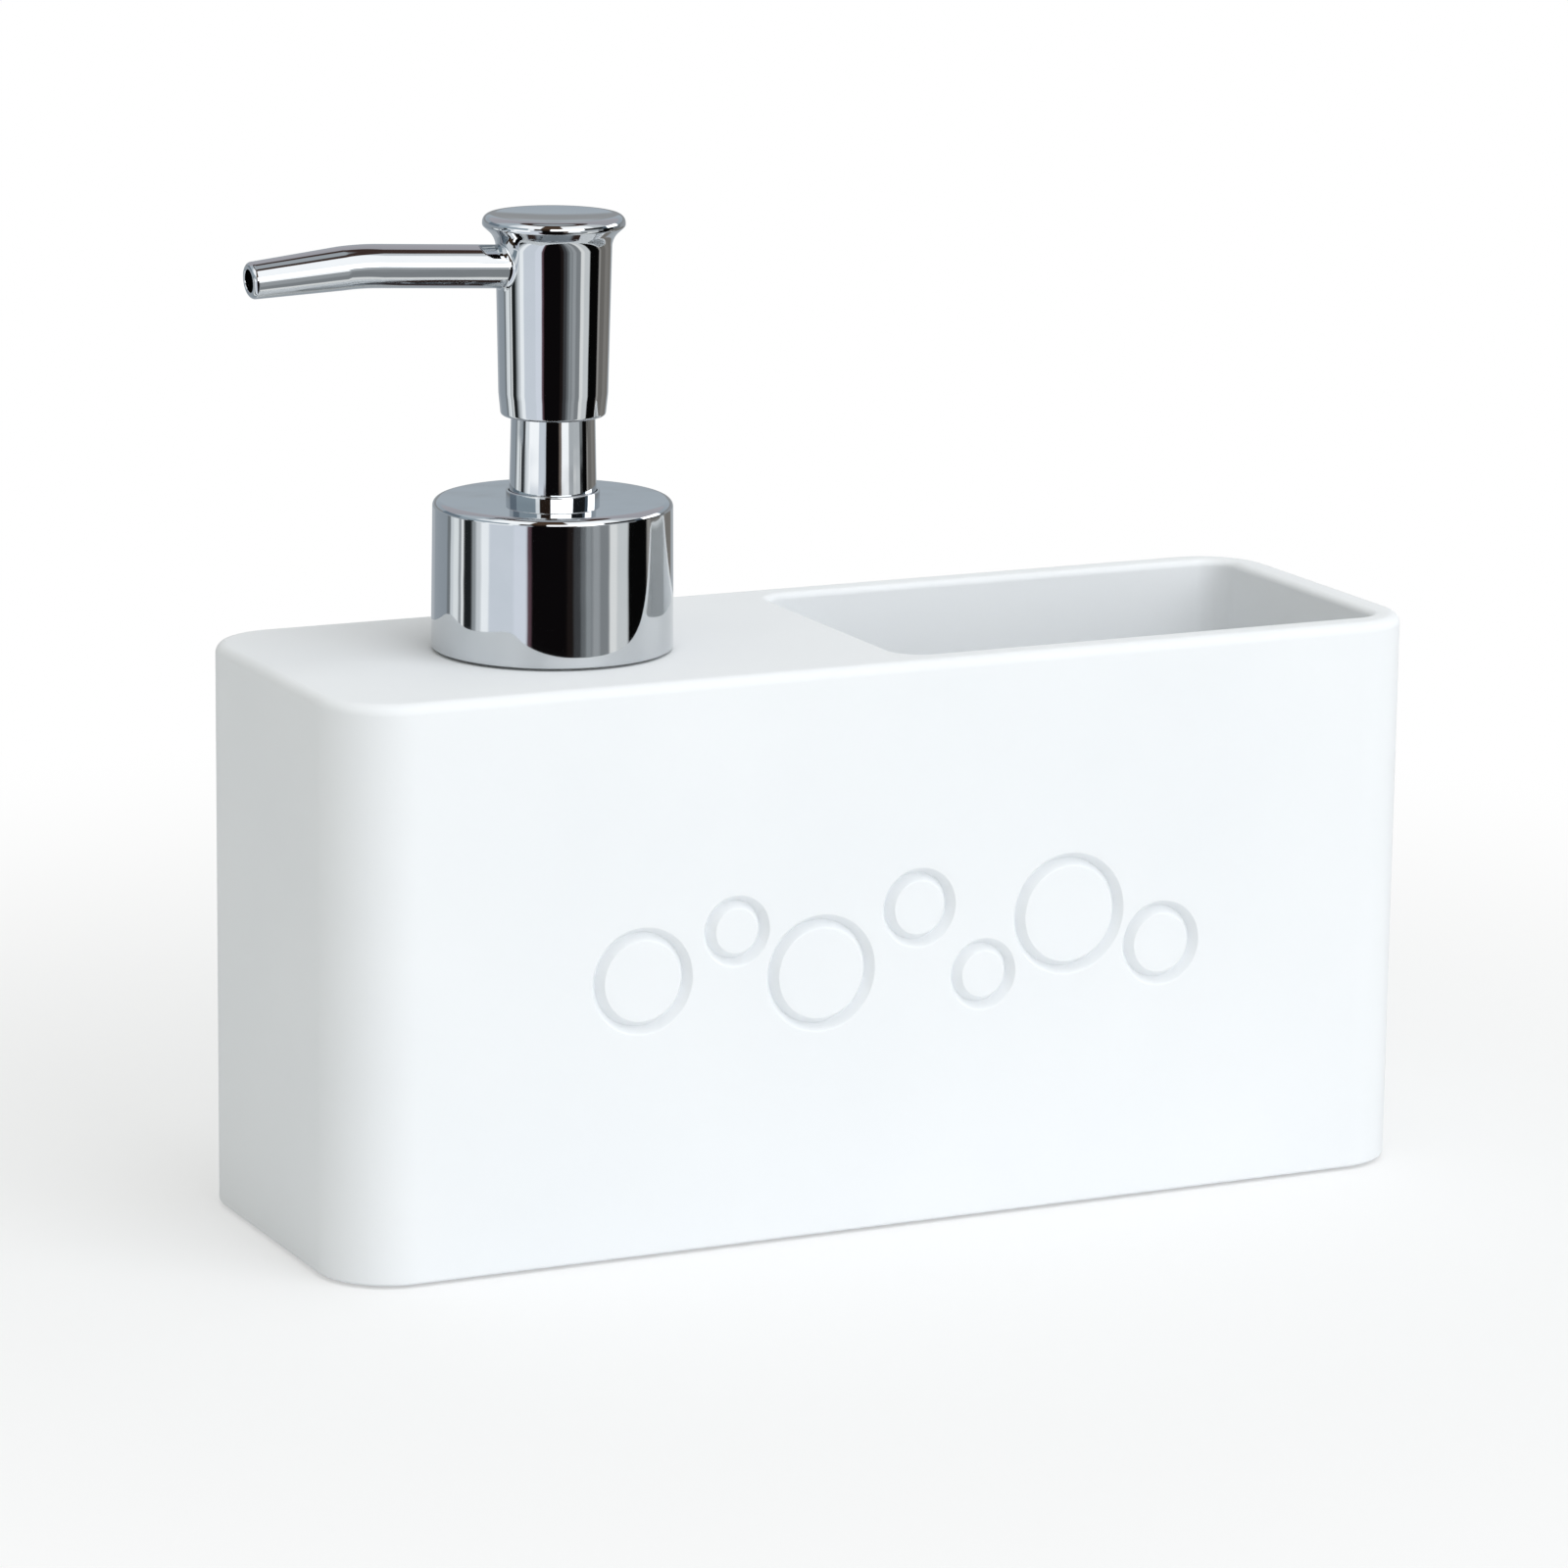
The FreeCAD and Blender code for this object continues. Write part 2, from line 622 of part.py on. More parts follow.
revolve("guide_bush", (
    ("stem_bore", "bush_foot"),
    ("seal_radius", "bush_foot"),
    ("seal_radius", "flange_top"),
    ("bush_flange_radius", "flange_top"),
    ("bush_flange_radius", "bush_top"),
    ("stem_bore", "bush_top"),
))

# Plunger: soft piston on a hollow rod inside a bright sleeve.
revolve("piston_seal", (
    ("rod_radius + fit_gap", "piston_foot"),
    ("seal_radius", "piston_foot"),
    ("seal_radius", "piston_foot + piston_lip"),
    ("seal_radius - piston_waist", "piston_foot + piston_lip + piston_waist"),
    ("seal_radius - piston_waist", "piston_top - piston_lip - piston_waist"),
    ("seal_radius", "piston_top - piston_lip"),
    ("seal_radius", "piston_top"),
    ("rod_radius + fit_gap", "piston_top"),
))
revolve("stem_core", (
    ("rod_bore_radius", "rod_foot"),
    ("rod_head_radius", "rod_foot"),
    ("rod_head_radius", "rod_head_top"),
    ("rod_radius", "rod_head_top"),
    ("rod_radius", "shoulder_foot"),
    ("rod_shoulder_radius", "shoulder_foot"),
    ("rod_shoulder_radius", "shoulder_top"),
    ("rod_radius", "shoulder_top"),
    ("rod_radius", "rod_top"),
    ("rod_seat_radius", "rod_top"),
    ("rod_bore_radius", "rod_top - (rod_seat_radius - rod_bore_radius)"),
))
revolve("stem_sleeve", (
    ("stem_radius - sleeve_wall", "shoulder_top"),
    ("stem_radius", "shoulder_top"),
    ("stem_radius", "sleeve_top"),
    ("stem_radius - sleeve_wall", "sleeve_top"),
))
for label, radius, level in (
    ("inlet_ball", "inlet_ball_radius", "inlet_ball_level"),
    ("outlet_ball", "outlet_ball_radius", "outlet_ball_level"),
):
    ball = doc.addObject("Part::Sphere", label)
    bind(ball, "Radius", radius)
    bind(ball, "Placement.Base.x", "pump_axis")
    bind(ball, "Placement.Base.z", level)
    parts.append(ball)

# Head: bright shell over a plastic core that joins rod and spout.
core = revolve("head_core", (
    ("stem_radius + fit_gap", "core_foot"),
    ("core_radius", "core_foot"),
    ("core_radius", "core_roof"),
    ("0", "core_roof"),
    ("0", "core_chamber_roof"),
    ("core_chamber_radius", "core_chamber_roof"),
    ("core_chamber_radius", "rod_top"),
    ("rod_radius + fit_gap", "rod_top"),
    ("rod_radius + fit_gap", "sleeve_top"),
    ("stem_radius + fit_gap", "sleeve_top"),
))
add_rod(core, "Subtractive", "spout_socket", "spout_hole_radius", "spout_seat", "rim_radius")
add_rod(core, "Subtractive", "spout_passage", "spout_bore_radius", "0", "spout_seat + free_gap")
head = revolve("pump_head", (
    ("0", "head_foot"),
    ("skirt_foot_radius", "head_foot", "skirt_foot_round"),
    ("skirt_radius", "skirt_top", "skirt_round"),
    ("flare_start_radius", "flare_start", "flare_round"),
    ("rim_radius", "rim_under", "rim_under_round"),
    ("rim_radius", "head_top", "rim_round"),
    ("dish_radius", "head_top"),
    ("0", "head_top - dish_depth"),
))
add_rod(head, "Additive", "spout_boss", "spout_radius + spout_boss_wall", "0",
        "flare_start_radius + spout_boss_reach")
cavity = new_sketch(head, "cavity_outline", "XY_Plane", "core_roof")
add_circle(cavity, "0", "0", "core_radius + fit_gap")
add_feature(head, "Pocket", "cavity", cavity, Length="core_roof - head_foot")
add_rod(head, "Subtractive", "spout_hole", "spout_hole_radius", "spout_seat", "rim_radius")

# Spout: a tube of round sections that rises to a soft bend and then drops to a narrower tip.
spout = new_body("spout_tube")
half_bend = "spout_bend / 2"
STATIONS = (
    ("spout_seat * cos(spout_rise_angle)", "spout_level + spout_seat * sin(spout_rise_angle)",
     "spout_rise_angle", "spout_radius"),
    (f"bend_reach - {half_bend} * cos(spout_rise_angle)",
     f"bend_level - {half_bend} * sin(spout_rise_angle)", "spout_rise_angle", "spout_radius"),
    (f"bend_reach + {half_bend} * cos(spout_drop_angle)",
     f"bend_level - {half_bend} * sin(spout_drop_angle)", "-spout_drop_angle", "spout_radius"),
    ("bend_reach + spout_tip_length * cos(spout_drop_angle)",
     "bend_level - spout_tip_length * sin(spout_drop_angle)", "-spout_drop_angle", "spout_tip_radius"),
)


def loft(kind, name, radii):
    """A straight-sided loft through the spout's stations."""
    sections = []
    for index, ((reach, level, turn, _), radius) in enumerate(zip(STATIONS, radii)):
        sketch = new_sketch(spout, f"{name}_station_{index}", "YZ_Plane", f"-({reach})")
        sketch.AttachmentOffset = FreeCAD.Placement(FreeCAD.Vector(), FreeCAD.Vector(1, 0, 0), 1)
        bind(sketch, "AttachmentOffset.Base.y", level)
        bind(sketch, "AttachmentOffset.Rotation.Angle", turn)
        add_circle(sketch, "0", "0", radius)
        sections.append(sketch)
    tube = spout.newObject(f"PartDesign::{kind}Loft", name)
    tube.Profile = sections[0]
    tube.Sections = sections[1:]
    tube.Ruled = True
    doc.recompute()


loft("Additive", "spout_outside", [station[3] for station in STATIONS])
tip_edges = [
    f"Edge{index}" for index, edge in enumerate(spout.Tip.Shape.Edges, start=1)
    if edge.isClosed() and edge.BoundBox.XMax < -number(STATIONS[3][0]) + number("spout_tip_round")
]
soften(spout, "tip_edge", tip_edges, "Fillet", "Radius", "spout_tip_round")
loft("Subtractive", "spout_bore", ["spout_bore_radius"] * len(STATIONS))


# Return spring: one wire swept along arcs, two to each quarter turn of the coil.
def arc_between(start, direction, end):
    """The arc that leaves a point along a direction and reaches another point."""
    chord = end - start
    along = FreeCAD.Vector(chord).normalize()
    sideways = direction - along * direction.dot(along)
    bend_angle = math.acos(min(1.0, direction.dot(along)))
    middle = (start + end) * 0.5 + sideways.normalize() * (chord.Length / 2 * math.tan(bend_angle / 2))
    return Part.Arc(start, middle, end).toShape()


def coil_point(angle, radius, foot, pitch):
    """A point of the coil's centre line and the direction of the wire there."""
    level = foot + pitch * angle / math.tau
    point = FreeCAD.Vector(radius * math.cos(angle), radius * math.sin(angle), level)
    heading = FreeCAD.Vector(-radius * math.sin(angle), radius * math.cos(angle), pitch / math.tau)
    return point, heading.normalize()


def coil_path(radius, foot, pitch, turns):
    """The coil's centre line as tangent arcs."""
    arcs = []
    quarters = round(turns * 4)
    for quarter in range(quarters):
        start, leave = coil_point(quarter * math.pi / 2, radius, foot, pitch)
        end, arrive = coil_point((quarter + 1) * math.pi / 2, radius, foot, pitch)
        span = end - start
        lean = span.dot(leave + arrive)
        spread = 2 * (1 - leave.dot(arrive))
        reach = (math.sqrt(lean ** 2 + spread * span.dot(span)) - lean) / spread
        joint = (start + end + (leave - arrive) * reach) * 0.5
        arcs.append(arc_between(start, leave, joint))
        arcs.append(arc_between(end, arrive * -1, joint))
    return Part.Wire(Part.__sortEdges__(arcs))


wire_radius = number("spring_wire / 2")
spring_foot = number("cage_top + spring_wire / 2 + fit_gap")
spring_pitch = (number("piston_foot - spring_wire / 2 - fit_gap") - spring_foot) / number("spring_turns")
path = coil_path(number("spring_radius"), spring_foot, spring_pitch, number("spring_turns"))
start, leave = coil_point(0, number("spring_radius"), spring_foot, spring_pitch)
section = Part.Wire(Part.makeCircle(wire_radius, start, leave))
spring = doc.addObject("Part::Feature", "return_spring")
spring.Shape = path.makePipeShell([section], True, False)
bind(spring, "Placement.Base.x", "pump_axis")
parts.append(spring)

samples = path.discretize(Number=round(number("spring_turns") * 48))
least_gap = min(
    first.distanceToPoint(second) for index, first in enumerate(samples) for second in samples[index + 24:]
) - number("spring_wire")
print(f"least gap between the spring's turns: {least_gap:.2f} mm")

# Every sub-part must be sound before it is written.
doc.recompute()
os.makedirs("parts", exist_ok=True)
for item in doc.Objects:
    if "Invalid" in item.State or "Error" in item.State:
        raise RuntimeError(f"{item.Name} failed: {item.State}")
for part in parts:
    if part.Shape.isNull() or not part.Shape.isValid() or len(part.Shape.Solids) != 1:
        raise RuntimeError(f"{part.Label} is not one sound solid")
    part.Shape.exportStep(f"parts/{part.Label}.step")
    box = part.Shape.optimalBoundingBox()
    print(f"{part.Label}: {part.Shape.Volume:.1f} mm3, x {box.XMin:.2f} to {box.XMax:.2f}, "
          f"y {box.YMin:.2f} to {box.YMax:.2f}, z {box.ZMin:.2f} to {box.ZMax:.2f}")
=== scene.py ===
# %% [markdown]
# # A soap pump caddy
# The caddy is a matte white casting: a soap chamber with a chrome lotion pump on the left and an open
# slot for a sponge on the right. The imported solids already give every place, so the first step loads
# them as a fixed frame. Their box is kept.

# %% The fixed frame
import json
import math

import bmesh
import bpy
from mathutils import Matrix, Vector


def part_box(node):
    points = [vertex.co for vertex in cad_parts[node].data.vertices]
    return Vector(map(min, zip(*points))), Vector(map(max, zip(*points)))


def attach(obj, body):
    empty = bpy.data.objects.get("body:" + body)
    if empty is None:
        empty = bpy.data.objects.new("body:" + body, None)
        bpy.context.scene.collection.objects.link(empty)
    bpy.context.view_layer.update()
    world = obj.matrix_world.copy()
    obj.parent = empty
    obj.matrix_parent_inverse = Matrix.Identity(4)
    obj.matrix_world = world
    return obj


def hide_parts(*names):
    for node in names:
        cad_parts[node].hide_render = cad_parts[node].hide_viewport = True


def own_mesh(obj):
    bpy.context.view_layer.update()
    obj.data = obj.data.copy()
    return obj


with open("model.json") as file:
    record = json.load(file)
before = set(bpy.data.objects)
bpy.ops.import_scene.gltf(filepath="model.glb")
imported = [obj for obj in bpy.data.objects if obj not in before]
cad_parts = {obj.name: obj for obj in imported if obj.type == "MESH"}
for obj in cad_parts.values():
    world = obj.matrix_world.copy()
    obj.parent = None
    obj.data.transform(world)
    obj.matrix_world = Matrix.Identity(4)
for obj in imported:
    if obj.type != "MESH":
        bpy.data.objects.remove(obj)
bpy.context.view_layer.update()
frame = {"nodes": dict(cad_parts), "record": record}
scene = bpy.context.scene
scene.view_settings.view_transform = "Standard"

# %% [markdown]
# ## How a piece is finished
# Every piece is drawn in millimetres, because the real one is measured so, and only the last step makes
# it metres. Merging doubles closes the seams that spinning leaves, and the normals are turned outwards
# after that. Weighted normals let the large flat faces rule the shading, so a narrow rounding doesn't
# bend the reflection on the wall beside it.

# %% Finishing a piece
MM = 0.001
SEAM = 0.0005
CREASE = math.radians(38)


def in_mm(corners):
    """The two corners of a box of the frame, in millimetres."""
    return [Vector(corner) / MM for corner in corners]


def finish_piece(name, bm, body, slot, *nodes):
    """Makes a drawn bmesh an object that rides on a body and stands for CAD nodes."""
    bmesh.ops.remove_doubles(bm, verts=bm.verts, dist=SEAM)
    bmesh.ops.recalc_face_normals(bm, faces=bm.faces)
    bmesh.ops.scale(bm, vec=(MM, MM, MM), verts=bm.verts)
    for face in bm.faces:
        face.smooth = True
    for edge in bm.edges:
        edge.smooth = edge.calc_face_angle(0) < CREASE
    open_edges = sum(not edge.is_manifold for edge in bm.edges)
    mesh = bpy.data.meshes.new(name)
    bm.to_mesh(mesh)
    bm.free()
    piece = bpy.data.objects.new(name, mesh)
    scene.collection.objects.link(piece)
    shading = piece.modifiers.new("even_shading", "WEIGHTED_NORMAL")
    shading.keep_sharp = True
    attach(piece, body)
    if nodes:
        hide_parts(*nodes)
    print(f"{name}: {len(mesh.polygons)} faces, {open_edges} open edges")
    return piece


# %% [markdown]
# ## Outlines and walls of the casting
# A cast block is a stack of level outlines: each is a rectangle with round corners, and the wall runs
# from one outline to the next. Bevelling the four corners of a flat face gives true arcs, and bridging
# two such loops gives a wall of clean quads. A quarter round between a wall and a flat face is then only
# a few more outlines, each set in a little.

# %% Outlines and walls
CORNER_STEPS = 24


def rounded_outline(bm, left, right, half_depth, radius, level):
    """Adds a level rectangle with round corners and returns its edges."""
    known = set(bm.faces)
    spots = ((left, -half_depth), (right, -half_depth), (right, half_depth), (left, half_depth))
    corners = [bm.verts.new((x, y, level)) for x, y in spots]
    bm.faces.new(corners)
    bmesh.ops.bevel(bm, geom=corners, offset=radius, offset_type="OFFSET", affect="VERTICES",
                    segments=CORNER_STEPS, profile=0.5, material=-1)
    sheet = (set(bm.faces) - known).pop()
    edges = list(sheet.edges)
    bm.faces.remove(sheet)
    return edges


def wall_through(bm, loops):
    """Bridges each loop of edges to the next one."""
    for lower, upper in zip(loops, loops[1:]):
        bmesh.ops.bridge_loops(bm, edges=lower + upper)


def fill_between(bm, edges, normal):
    """Fills a flat face that may have holes."""
    bmesh.ops.triangle_fill(bm, use_beauty=True, use_dissolve=False, edges=edges, normal=normal)


def quarter_round(radius, steps):
    """Distances from the two faces that a quarter round joins, from the first face to the second."""
    turns = [math.pi / 2 * step / steps for step in range(steps + 1)]
    return [(radius * (1 - math.cos(turn)), radius * (1 - math.sin(turn))) for turn in turns]


# %% [markdown]
# ## The casting
# The real block is poured: filled resin in a mould, with soft top edges, a crisp foot, a slot that opens
# upwards and a chamber that opens downwards and is closed by a plate. It could be a cube with cuts, but
# cuts leave ragged edges that no bevel follows cleanly. Here the outside, the slot, the underside and the
# chamber are stacks of outlines that meet in flat faces, so the block is one closed skin.

# %% Outside and slot
block_low, block_high = in_mm(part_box("caddy_body"))
HALF_WIDTH, HALF_DEPTH, FOOT, TOP = block_high.x, block_high.y, block_low.z, block_high.z
CORNER, TOP_ROUND, FOOT_ROUND = 10, 1.5, 0.5
SLOT_LEFT, SLOT_RIGHT, SLOT_HALF, SLOT_FLOOR, SLOT_CORNER = 1.9, 75.5, 22.5, 5.4, 4
RIM_ROUND, FLOOR_ROUND = 1, 2

block = bmesh.new()


def block_outline(inset, level):
    """An outline of the block's outside, set in from its faces."""
    return rounded_outline(block, inset - HALF_WIDTH, HALF_WIDTH - inset, HALF_DEPTH - inset,
                           CORNER - inset, level)


def slot_outline(outset, level):
    """An outline of the sponge slot, grown out into its rim or drawn in to its floor."""
    return rounded_outline(block, SLOT_LEFT - outset, SLOT_RIGHT + outset, SLOT_HALF + outset,
                           SLOT_CORNER + outset, level)


foot_curve, top_curve = quarter_round(FOOT_ROUND, steps=4), quarter_round(TOP_ROUND, steps=8)
rim_curve, floor_curve = quarter_round(RIM_ROUND, steps=6), quarter_round(FLOOR_ROUND, steps=6)
outside = [block_outline(inset, FOOT + rise) for inset, rise in reversed(foot_curve)]
outside += [block_outline(inset, TOP - drop) for inset, drop in top_curve]
wall_through(block, outside)
slot_loops = [slot_outline(outset, TOP - drop) for drop, outset in rim_curve]
slot_loops += [slot_outline(-inset, SLOT_FLOOR + rise) for inset, rise in floor_curve]
wall_through(block, slot_loops)
fill_between(block, slot_loops[-1], (0, 0, 1))
print(f"block of {len(outside)} outlines, slot of {len(slot_loops)}")

# %% [markdown]
# ## Underside, chamber and neck hole
# Below, a shallow recess takes the foam pad, a rebate takes the plate, and above the plate is the soap
# chamber with the hole for the pump's neck. None of it shows from above, but a solid block would be a lie
# to anyone who turns the model over or opens its mesh. Upright walls are bridged, and the level steps
# between them are filled, because bridging two loops of one level can pair their points crosswise.

# %% Underside, chamber and neck hole
collar_low, collar_high = in_mm(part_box("collar_shell"))
PUMP_X = (collar_low.x + collar_high.x) / 2
RECESS_INSET, PLATE_FOOT, PLATE_TOP = 2.5, 1.6, 5.6
REBATE_LEFT, REBATE_RIGHT, REBATE_HALF, REBATE_CORNER, LEDGE = -77, -1.6, 24, 7.5, 1.5
CEILING, NECK_HOLE, HOLE_STEPS = 72.7, 12, 96


def chamber_outline(inset, level):
    """An outline of the plate's rebate, or of the chamber inside its ledge."""
    return rounded_outline(block, REBATE_LEFT + inset, REBATE_RIGHT - inset, REBATE_HALF - inset,
                           REBATE_CORNER - inset, level)


def hole_loop(level):
    """The edges of the neck hole at a level."""
    ring = bmesh.ops.create_circle(block, cap_ends=False, segments=HOLE_STEPS, radius=NECK_HOLE,
                                   matrix=Matrix.Translation((PUMP_X, 0, level)))
    return list({edge for vert in ring["verts"] for edge in vert.link_edges})


recess = [block_outline(RECESS_INSET, FOOT), block_outline(RECESS_INSET, PLATE_FOOT)]
rebate = [chamber_outline(0, PLATE_FOOT), chamber_outline(0, PLATE_TOP)]
chamber = [chamber_outline(LEDGE, PLATE_TOP), chamber_outline(LEDGE, CEILING)]
hole = [hole_loop(CEILING), hole_loop(TOP)]
for walls in (recess, rebate, chamber, hole):
    wall_through(block, walls)
ledges = ((outside[0], recess[0]), (recess[1], rebate[0]), (rebate[1], chamber[0]), (chamber[1], hole[0]))
for outer, inner in ledges:
    fill_between(block, outer + inner, (0, 0, -1))
fill_between(block, outside[-1] + slot_loops[0] + hole[1], (0, 0, 1))
print(f"recess, rebate and chamber under a hole of {2 * NECK_HOLE} mm")

# %% [markdown]
# ## Bubbles sunk into the front
# The front carries a shallow sunk ornament, seven soap bubbles in a row. Its grooves have sloping sides
# and a rounded bottom, as a cast groove must to leave the mould. Each is one small wire profile, rounded
# by a bevel and spun once round its bubble, and the flat front is filled round all of them at once.

# %% Sunk bubbles
MOTIF_HALF_WIDTH, MOTIF_HALF_HEIGHT = 45.25, 10.5
GROOVE_WIDTH, GROOVE_DEPTH, GROOVE_SOFT, FLAT_MARGIN = 1.8, 1.5, 0.1, 0.5
FRONT_CENTRE = (FOOT + TOP) / 2
BUBBLE_STEPS, FACES_FRONT = 72, -0.99
BUBBLES = (
    (-0.84, -0.10, 0.69),
    (-0.54, 0.42, 0.46),
    (-0.265, -0.24, 0.76),
    (0.055, 0.48, 0.52),
    (0.27, -0.48, 0.47),
    (0.555, 0.20, 0.80),
    (0.87, -0.32, 0.56),
)

front = max((face for face in block.faces
             if face.normal.y < FACES_FRONT and face.calc_center_median().y < 0),
            key=lambda face: face.calc_area())
block.faces.remove(front)
for across, up, size in BUBBLES:
    centre = Vector((across * MOTIF_HALF_WIDTH, -HALF_DEPTH, FRONT_CENTRE + up * MOTIF_HALF_HEIGHT))
    radius = size * MOTIF_HALF_HEIGHT
    inner = radius - GROOVE_WIDTH
    profile = ((radius + FLAT_MARGIN, 0), (radius, 0), ((radius + inner) / 2, GROOVE_DEPTH),
               (inner, 0), (inner - FLAT_MARGIN, 0))
    spots = [block.verts.new(centre + Vector((reach, depth, 0))) for reach, depth in profile]
    for first, second in zip(spots, spots[1:]):
        block.edges.new((first, second))
    bmesh.ops.bevel(block, geom=spots[1:-1], offset=GROOVE_SOFT, offset_type="OFFSET", affect="VERTICES",
                    segments=5, profile=0.5, material=-1)
    wire = [edge for edge in block.edges if edge.is_wire]
    verts = list({vert for edge in wire for vert in edge.verts})
    bmesh.ops.spin(block, geom=verts + wire, cent=centre, axis=(0, 1, 0), dvec=(0, 0, 0),
                   angle=math.tau, steps=BUBBLE_STEPS, use_merge=True)
in_front = [edge for edge in block.edges if edge.is_boundary
            and all(abs(vert.co.y + HALF_DEPTH) < SEAM for vert in edge.verts)]
fill_between(block, in_front, (0, -1, 0))
casting = finish_piece("cast_block", block, "caddy", "casting", "caddy_body")

# %% [markdown]
# ## Turned pieces of the pump
# Collar, stem and head are chrome-plated shells of round section. Each is drawn once as a flat section,
# with the corners as sharp points; a bevel rounds each corner by its own radius, and a full spin about
# the pump's axis makes the shell. The length that a bevel takes off each side follows from the radius
# and the angle of the corner. A side that lies on the axis itself would spin to nothing, so it is left out.

# %% Turning a section
TURN_STEPS = 144
ROUND_STEPS = 9


def round_corner(bm, corner, radius):
    """Rounds one corner of a flat section by a radius."""
    sides = [edge.other_vert(corner).co - corner.co for edge in corner.link_edges]
    reach = radius / math.tan(sides[0].angle(sides[1]) / 2)
    bmesh.ops.bevel(bm, geom=[corner], offset=reach, offset_type="OFFSET", affect="VERTICES",
                    segments=ROUND_STEPS, profile=0.5, material=-1)


def turn_section(bm, section):
    """Spins a closed section of (radius, level, rounding) about the pump's axis."""
    corners = [bm.verts.new((PUMP_X + reach, 0, level)) for reach, level, _ in section]
    bm.faces.new(corners)
    for corner, (_, _, rounding) in zip(corners, section):
        if rounding:
            round_corner(bm, corner, rounding)
    bm.faces.remove(next(iter(bm.faces)))
    for edge in list(bm.edges):
        if all(vert.co.x - PUMP_X < SEAM for vert in edge.verts):
            bm.edges.remove(edge)
    bmesh.ops.spin(bm, geom=list(bm.verts) + list(bm.edges), cent=(PUMP_X, 0, 0), axis=(0, 0, 1),
                   dvec=(0, 0, 0), angle=math.tau, steps=TURN_STEPS, use_merge=True)


# %% [markdown]
# ## Collar and stem
# The collar is a thin bright cup over the screw closure. It stands a hair above the casting, which gives
# the dark line at its foot, and a low lip rises round the stem. The stem is a bright tube that slides
# through that lip. Both draw in slightly towards the top, as a moulded piece must to leave its mould.

# %% Collar and stem
COLLAR_RADIUS, COLLAR_SHOULDER, COLLAR_WALL, COLLAR_ROUND, COLLAR_EDGE = 16.15, 15.96, 0.9, 1, 0.2
COLLAR_FOOT, COLLAR_TOP, LIP_TOP = collar_low.z, 97.9, collar_high.z
STEM_RADIUS, STEM_NECK, STEM_BORE, STEM_EDGE, STEM_BLEND = 5.8, 5.58, 4.8, 0.2, 12
STEM_PLAY, LIP_WALL, LIP_ROUND, LIP_EDGE = 0.1, 0.35, 0.18, 0.1
LIP_BORE = STEM_RADIUS + STEM_PLAY
HEAD_FOOT = 109.1

collar_mesh = bmesh.new()
turn_section(collar_mesh, (
    (COLLAR_RADIUS - COLLAR_WALL, COLLAR_FOOT, COLLAR_EDGE),
    (COLLAR_RADIUS, COLLAR_FOOT, COLLAR_EDGE),
    (COLLAR_SHOULDER, COLLAR_TOP, COLLAR_ROUND),
    (LIP_BORE + LIP_WALL, COLLAR_TOP, 0),
    (LIP_BORE + LIP_WALL, LIP_TOP, LIP_ROUND),
    (LIP_BORE, LIP_TOP, LIP_EDGE),
    (LIP_BORE, COLLAR_TOP - COLLAR_WALL, 0),
    (COLLAR_RADIUS - COLLAR_WALL, COLLAR_TOP - COLLAR_WALL, 0),
))
collar = finish_piece("collar", collar_mesh, "closure", "chrome", "collar_shell")

stem_low, stem_high = in_mm(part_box("stem_sleeve"))
stem_mesh = bmesh.new()
turn_section(stem_mesh, (
    (STEM_BORE, stem_low.z, 0),
    (STEM_RADIUS, stem_low.z, STEM_EDGE),
    (STEM_RADIUS, LIP_TOP, STEM_BLEND),
    (STEM_NECK, HEAD_FOOT, STEM_BLEND),
    (STEM_NECK, stem_high.z, STEM_EDGE),
    (STEM_BORE, stem_high.z, 0),
))
stem = finish_piece("stem", stem_mesh, "head", "chrome", "stem_sleeve")

# %% [markdown]
# ## Head
# The head is what the thumb presses: a slightly tapered skirt that draws in at its foot, a short hollow
# flare under the rim, and a shallow dished press face. The dish is a smooth bowl, because a cone would
# show its point as a star in the chrome.

# %% Head
HEAD_TOP, HEAD_CAVITY, CAVITY_ROOF = 135.8, 6.45, 134.4
FOOT_RADIUS, FOOT_EDGE = 6.95, 0.48
SKIRT_RADIUS, SKIRT_START, SKIRT_BLEND = 7.26, 112.1, 8
FLARE_RADIUS, FLARE_START, FLARE_HOLLOW = 7.7, 132.7, 2.5
BRIM_RADIUS, BRIM_FOOT, BRIM_EDGE, BRIM_ROUND = 9.44, 134.3, 0.35, 1.1
DISH_RADIUS, DISH_DEPTH, DISH_BLEND, DISH_STEPS = 7.9, 0.3, 4, 10
dish_reaches = [DISH_RADIUS * (1 - step / DISH_STEPS) for step in range(1, DISH_STEPS + 1)]

head_mesh = bmesh.new()
turn_section(head_mesh, (
    (HEAD_CAVITY, HEAD_FOOT, 0),
    (FOOT_RADIUS, HEAD_FOOT, FOOT_EDGE),
    (SKIRT_RADIUS, SKIRT_START, SKIRT_BLEND),
    (FLARE_RADIUS, FLARE_START, FLARE_HOLLOW),
    (BRIM_RADIUS, BRIM_FOOT, BRIM_EDGE),
    (BRIM_RADIUS, HEAD_TOP, BRIM_ROUND),
    (DISH_RADIUS, HEAD_TOP, DISH_BLEND),
    *((reach, HEAD_TOP - DISH_DEPTH * (1 - (reach / DISH_RADIUS) ** 2), 0) for reach in dish_reaches),
    (0, CAVITY_ROOF, 0),
    (HEAD_CAVITY, CAVITY_ROOF, 0),
))
head = finish_piece("press_head", head_mesh, "head", "chrome", "pump_head")

# %% [markdown]
# ## Spout
# The spout is a bright tube that rises a little from the head, bends softly and drops to a narrower tip.
# A tube could be a bevelled curve, but its taper, bend and open end are easier to hold with a ring of
# edges: extrude it along the rise, spin it round the bend, extrude and shrink it to the tip, then turn
# it back inside for the bore.

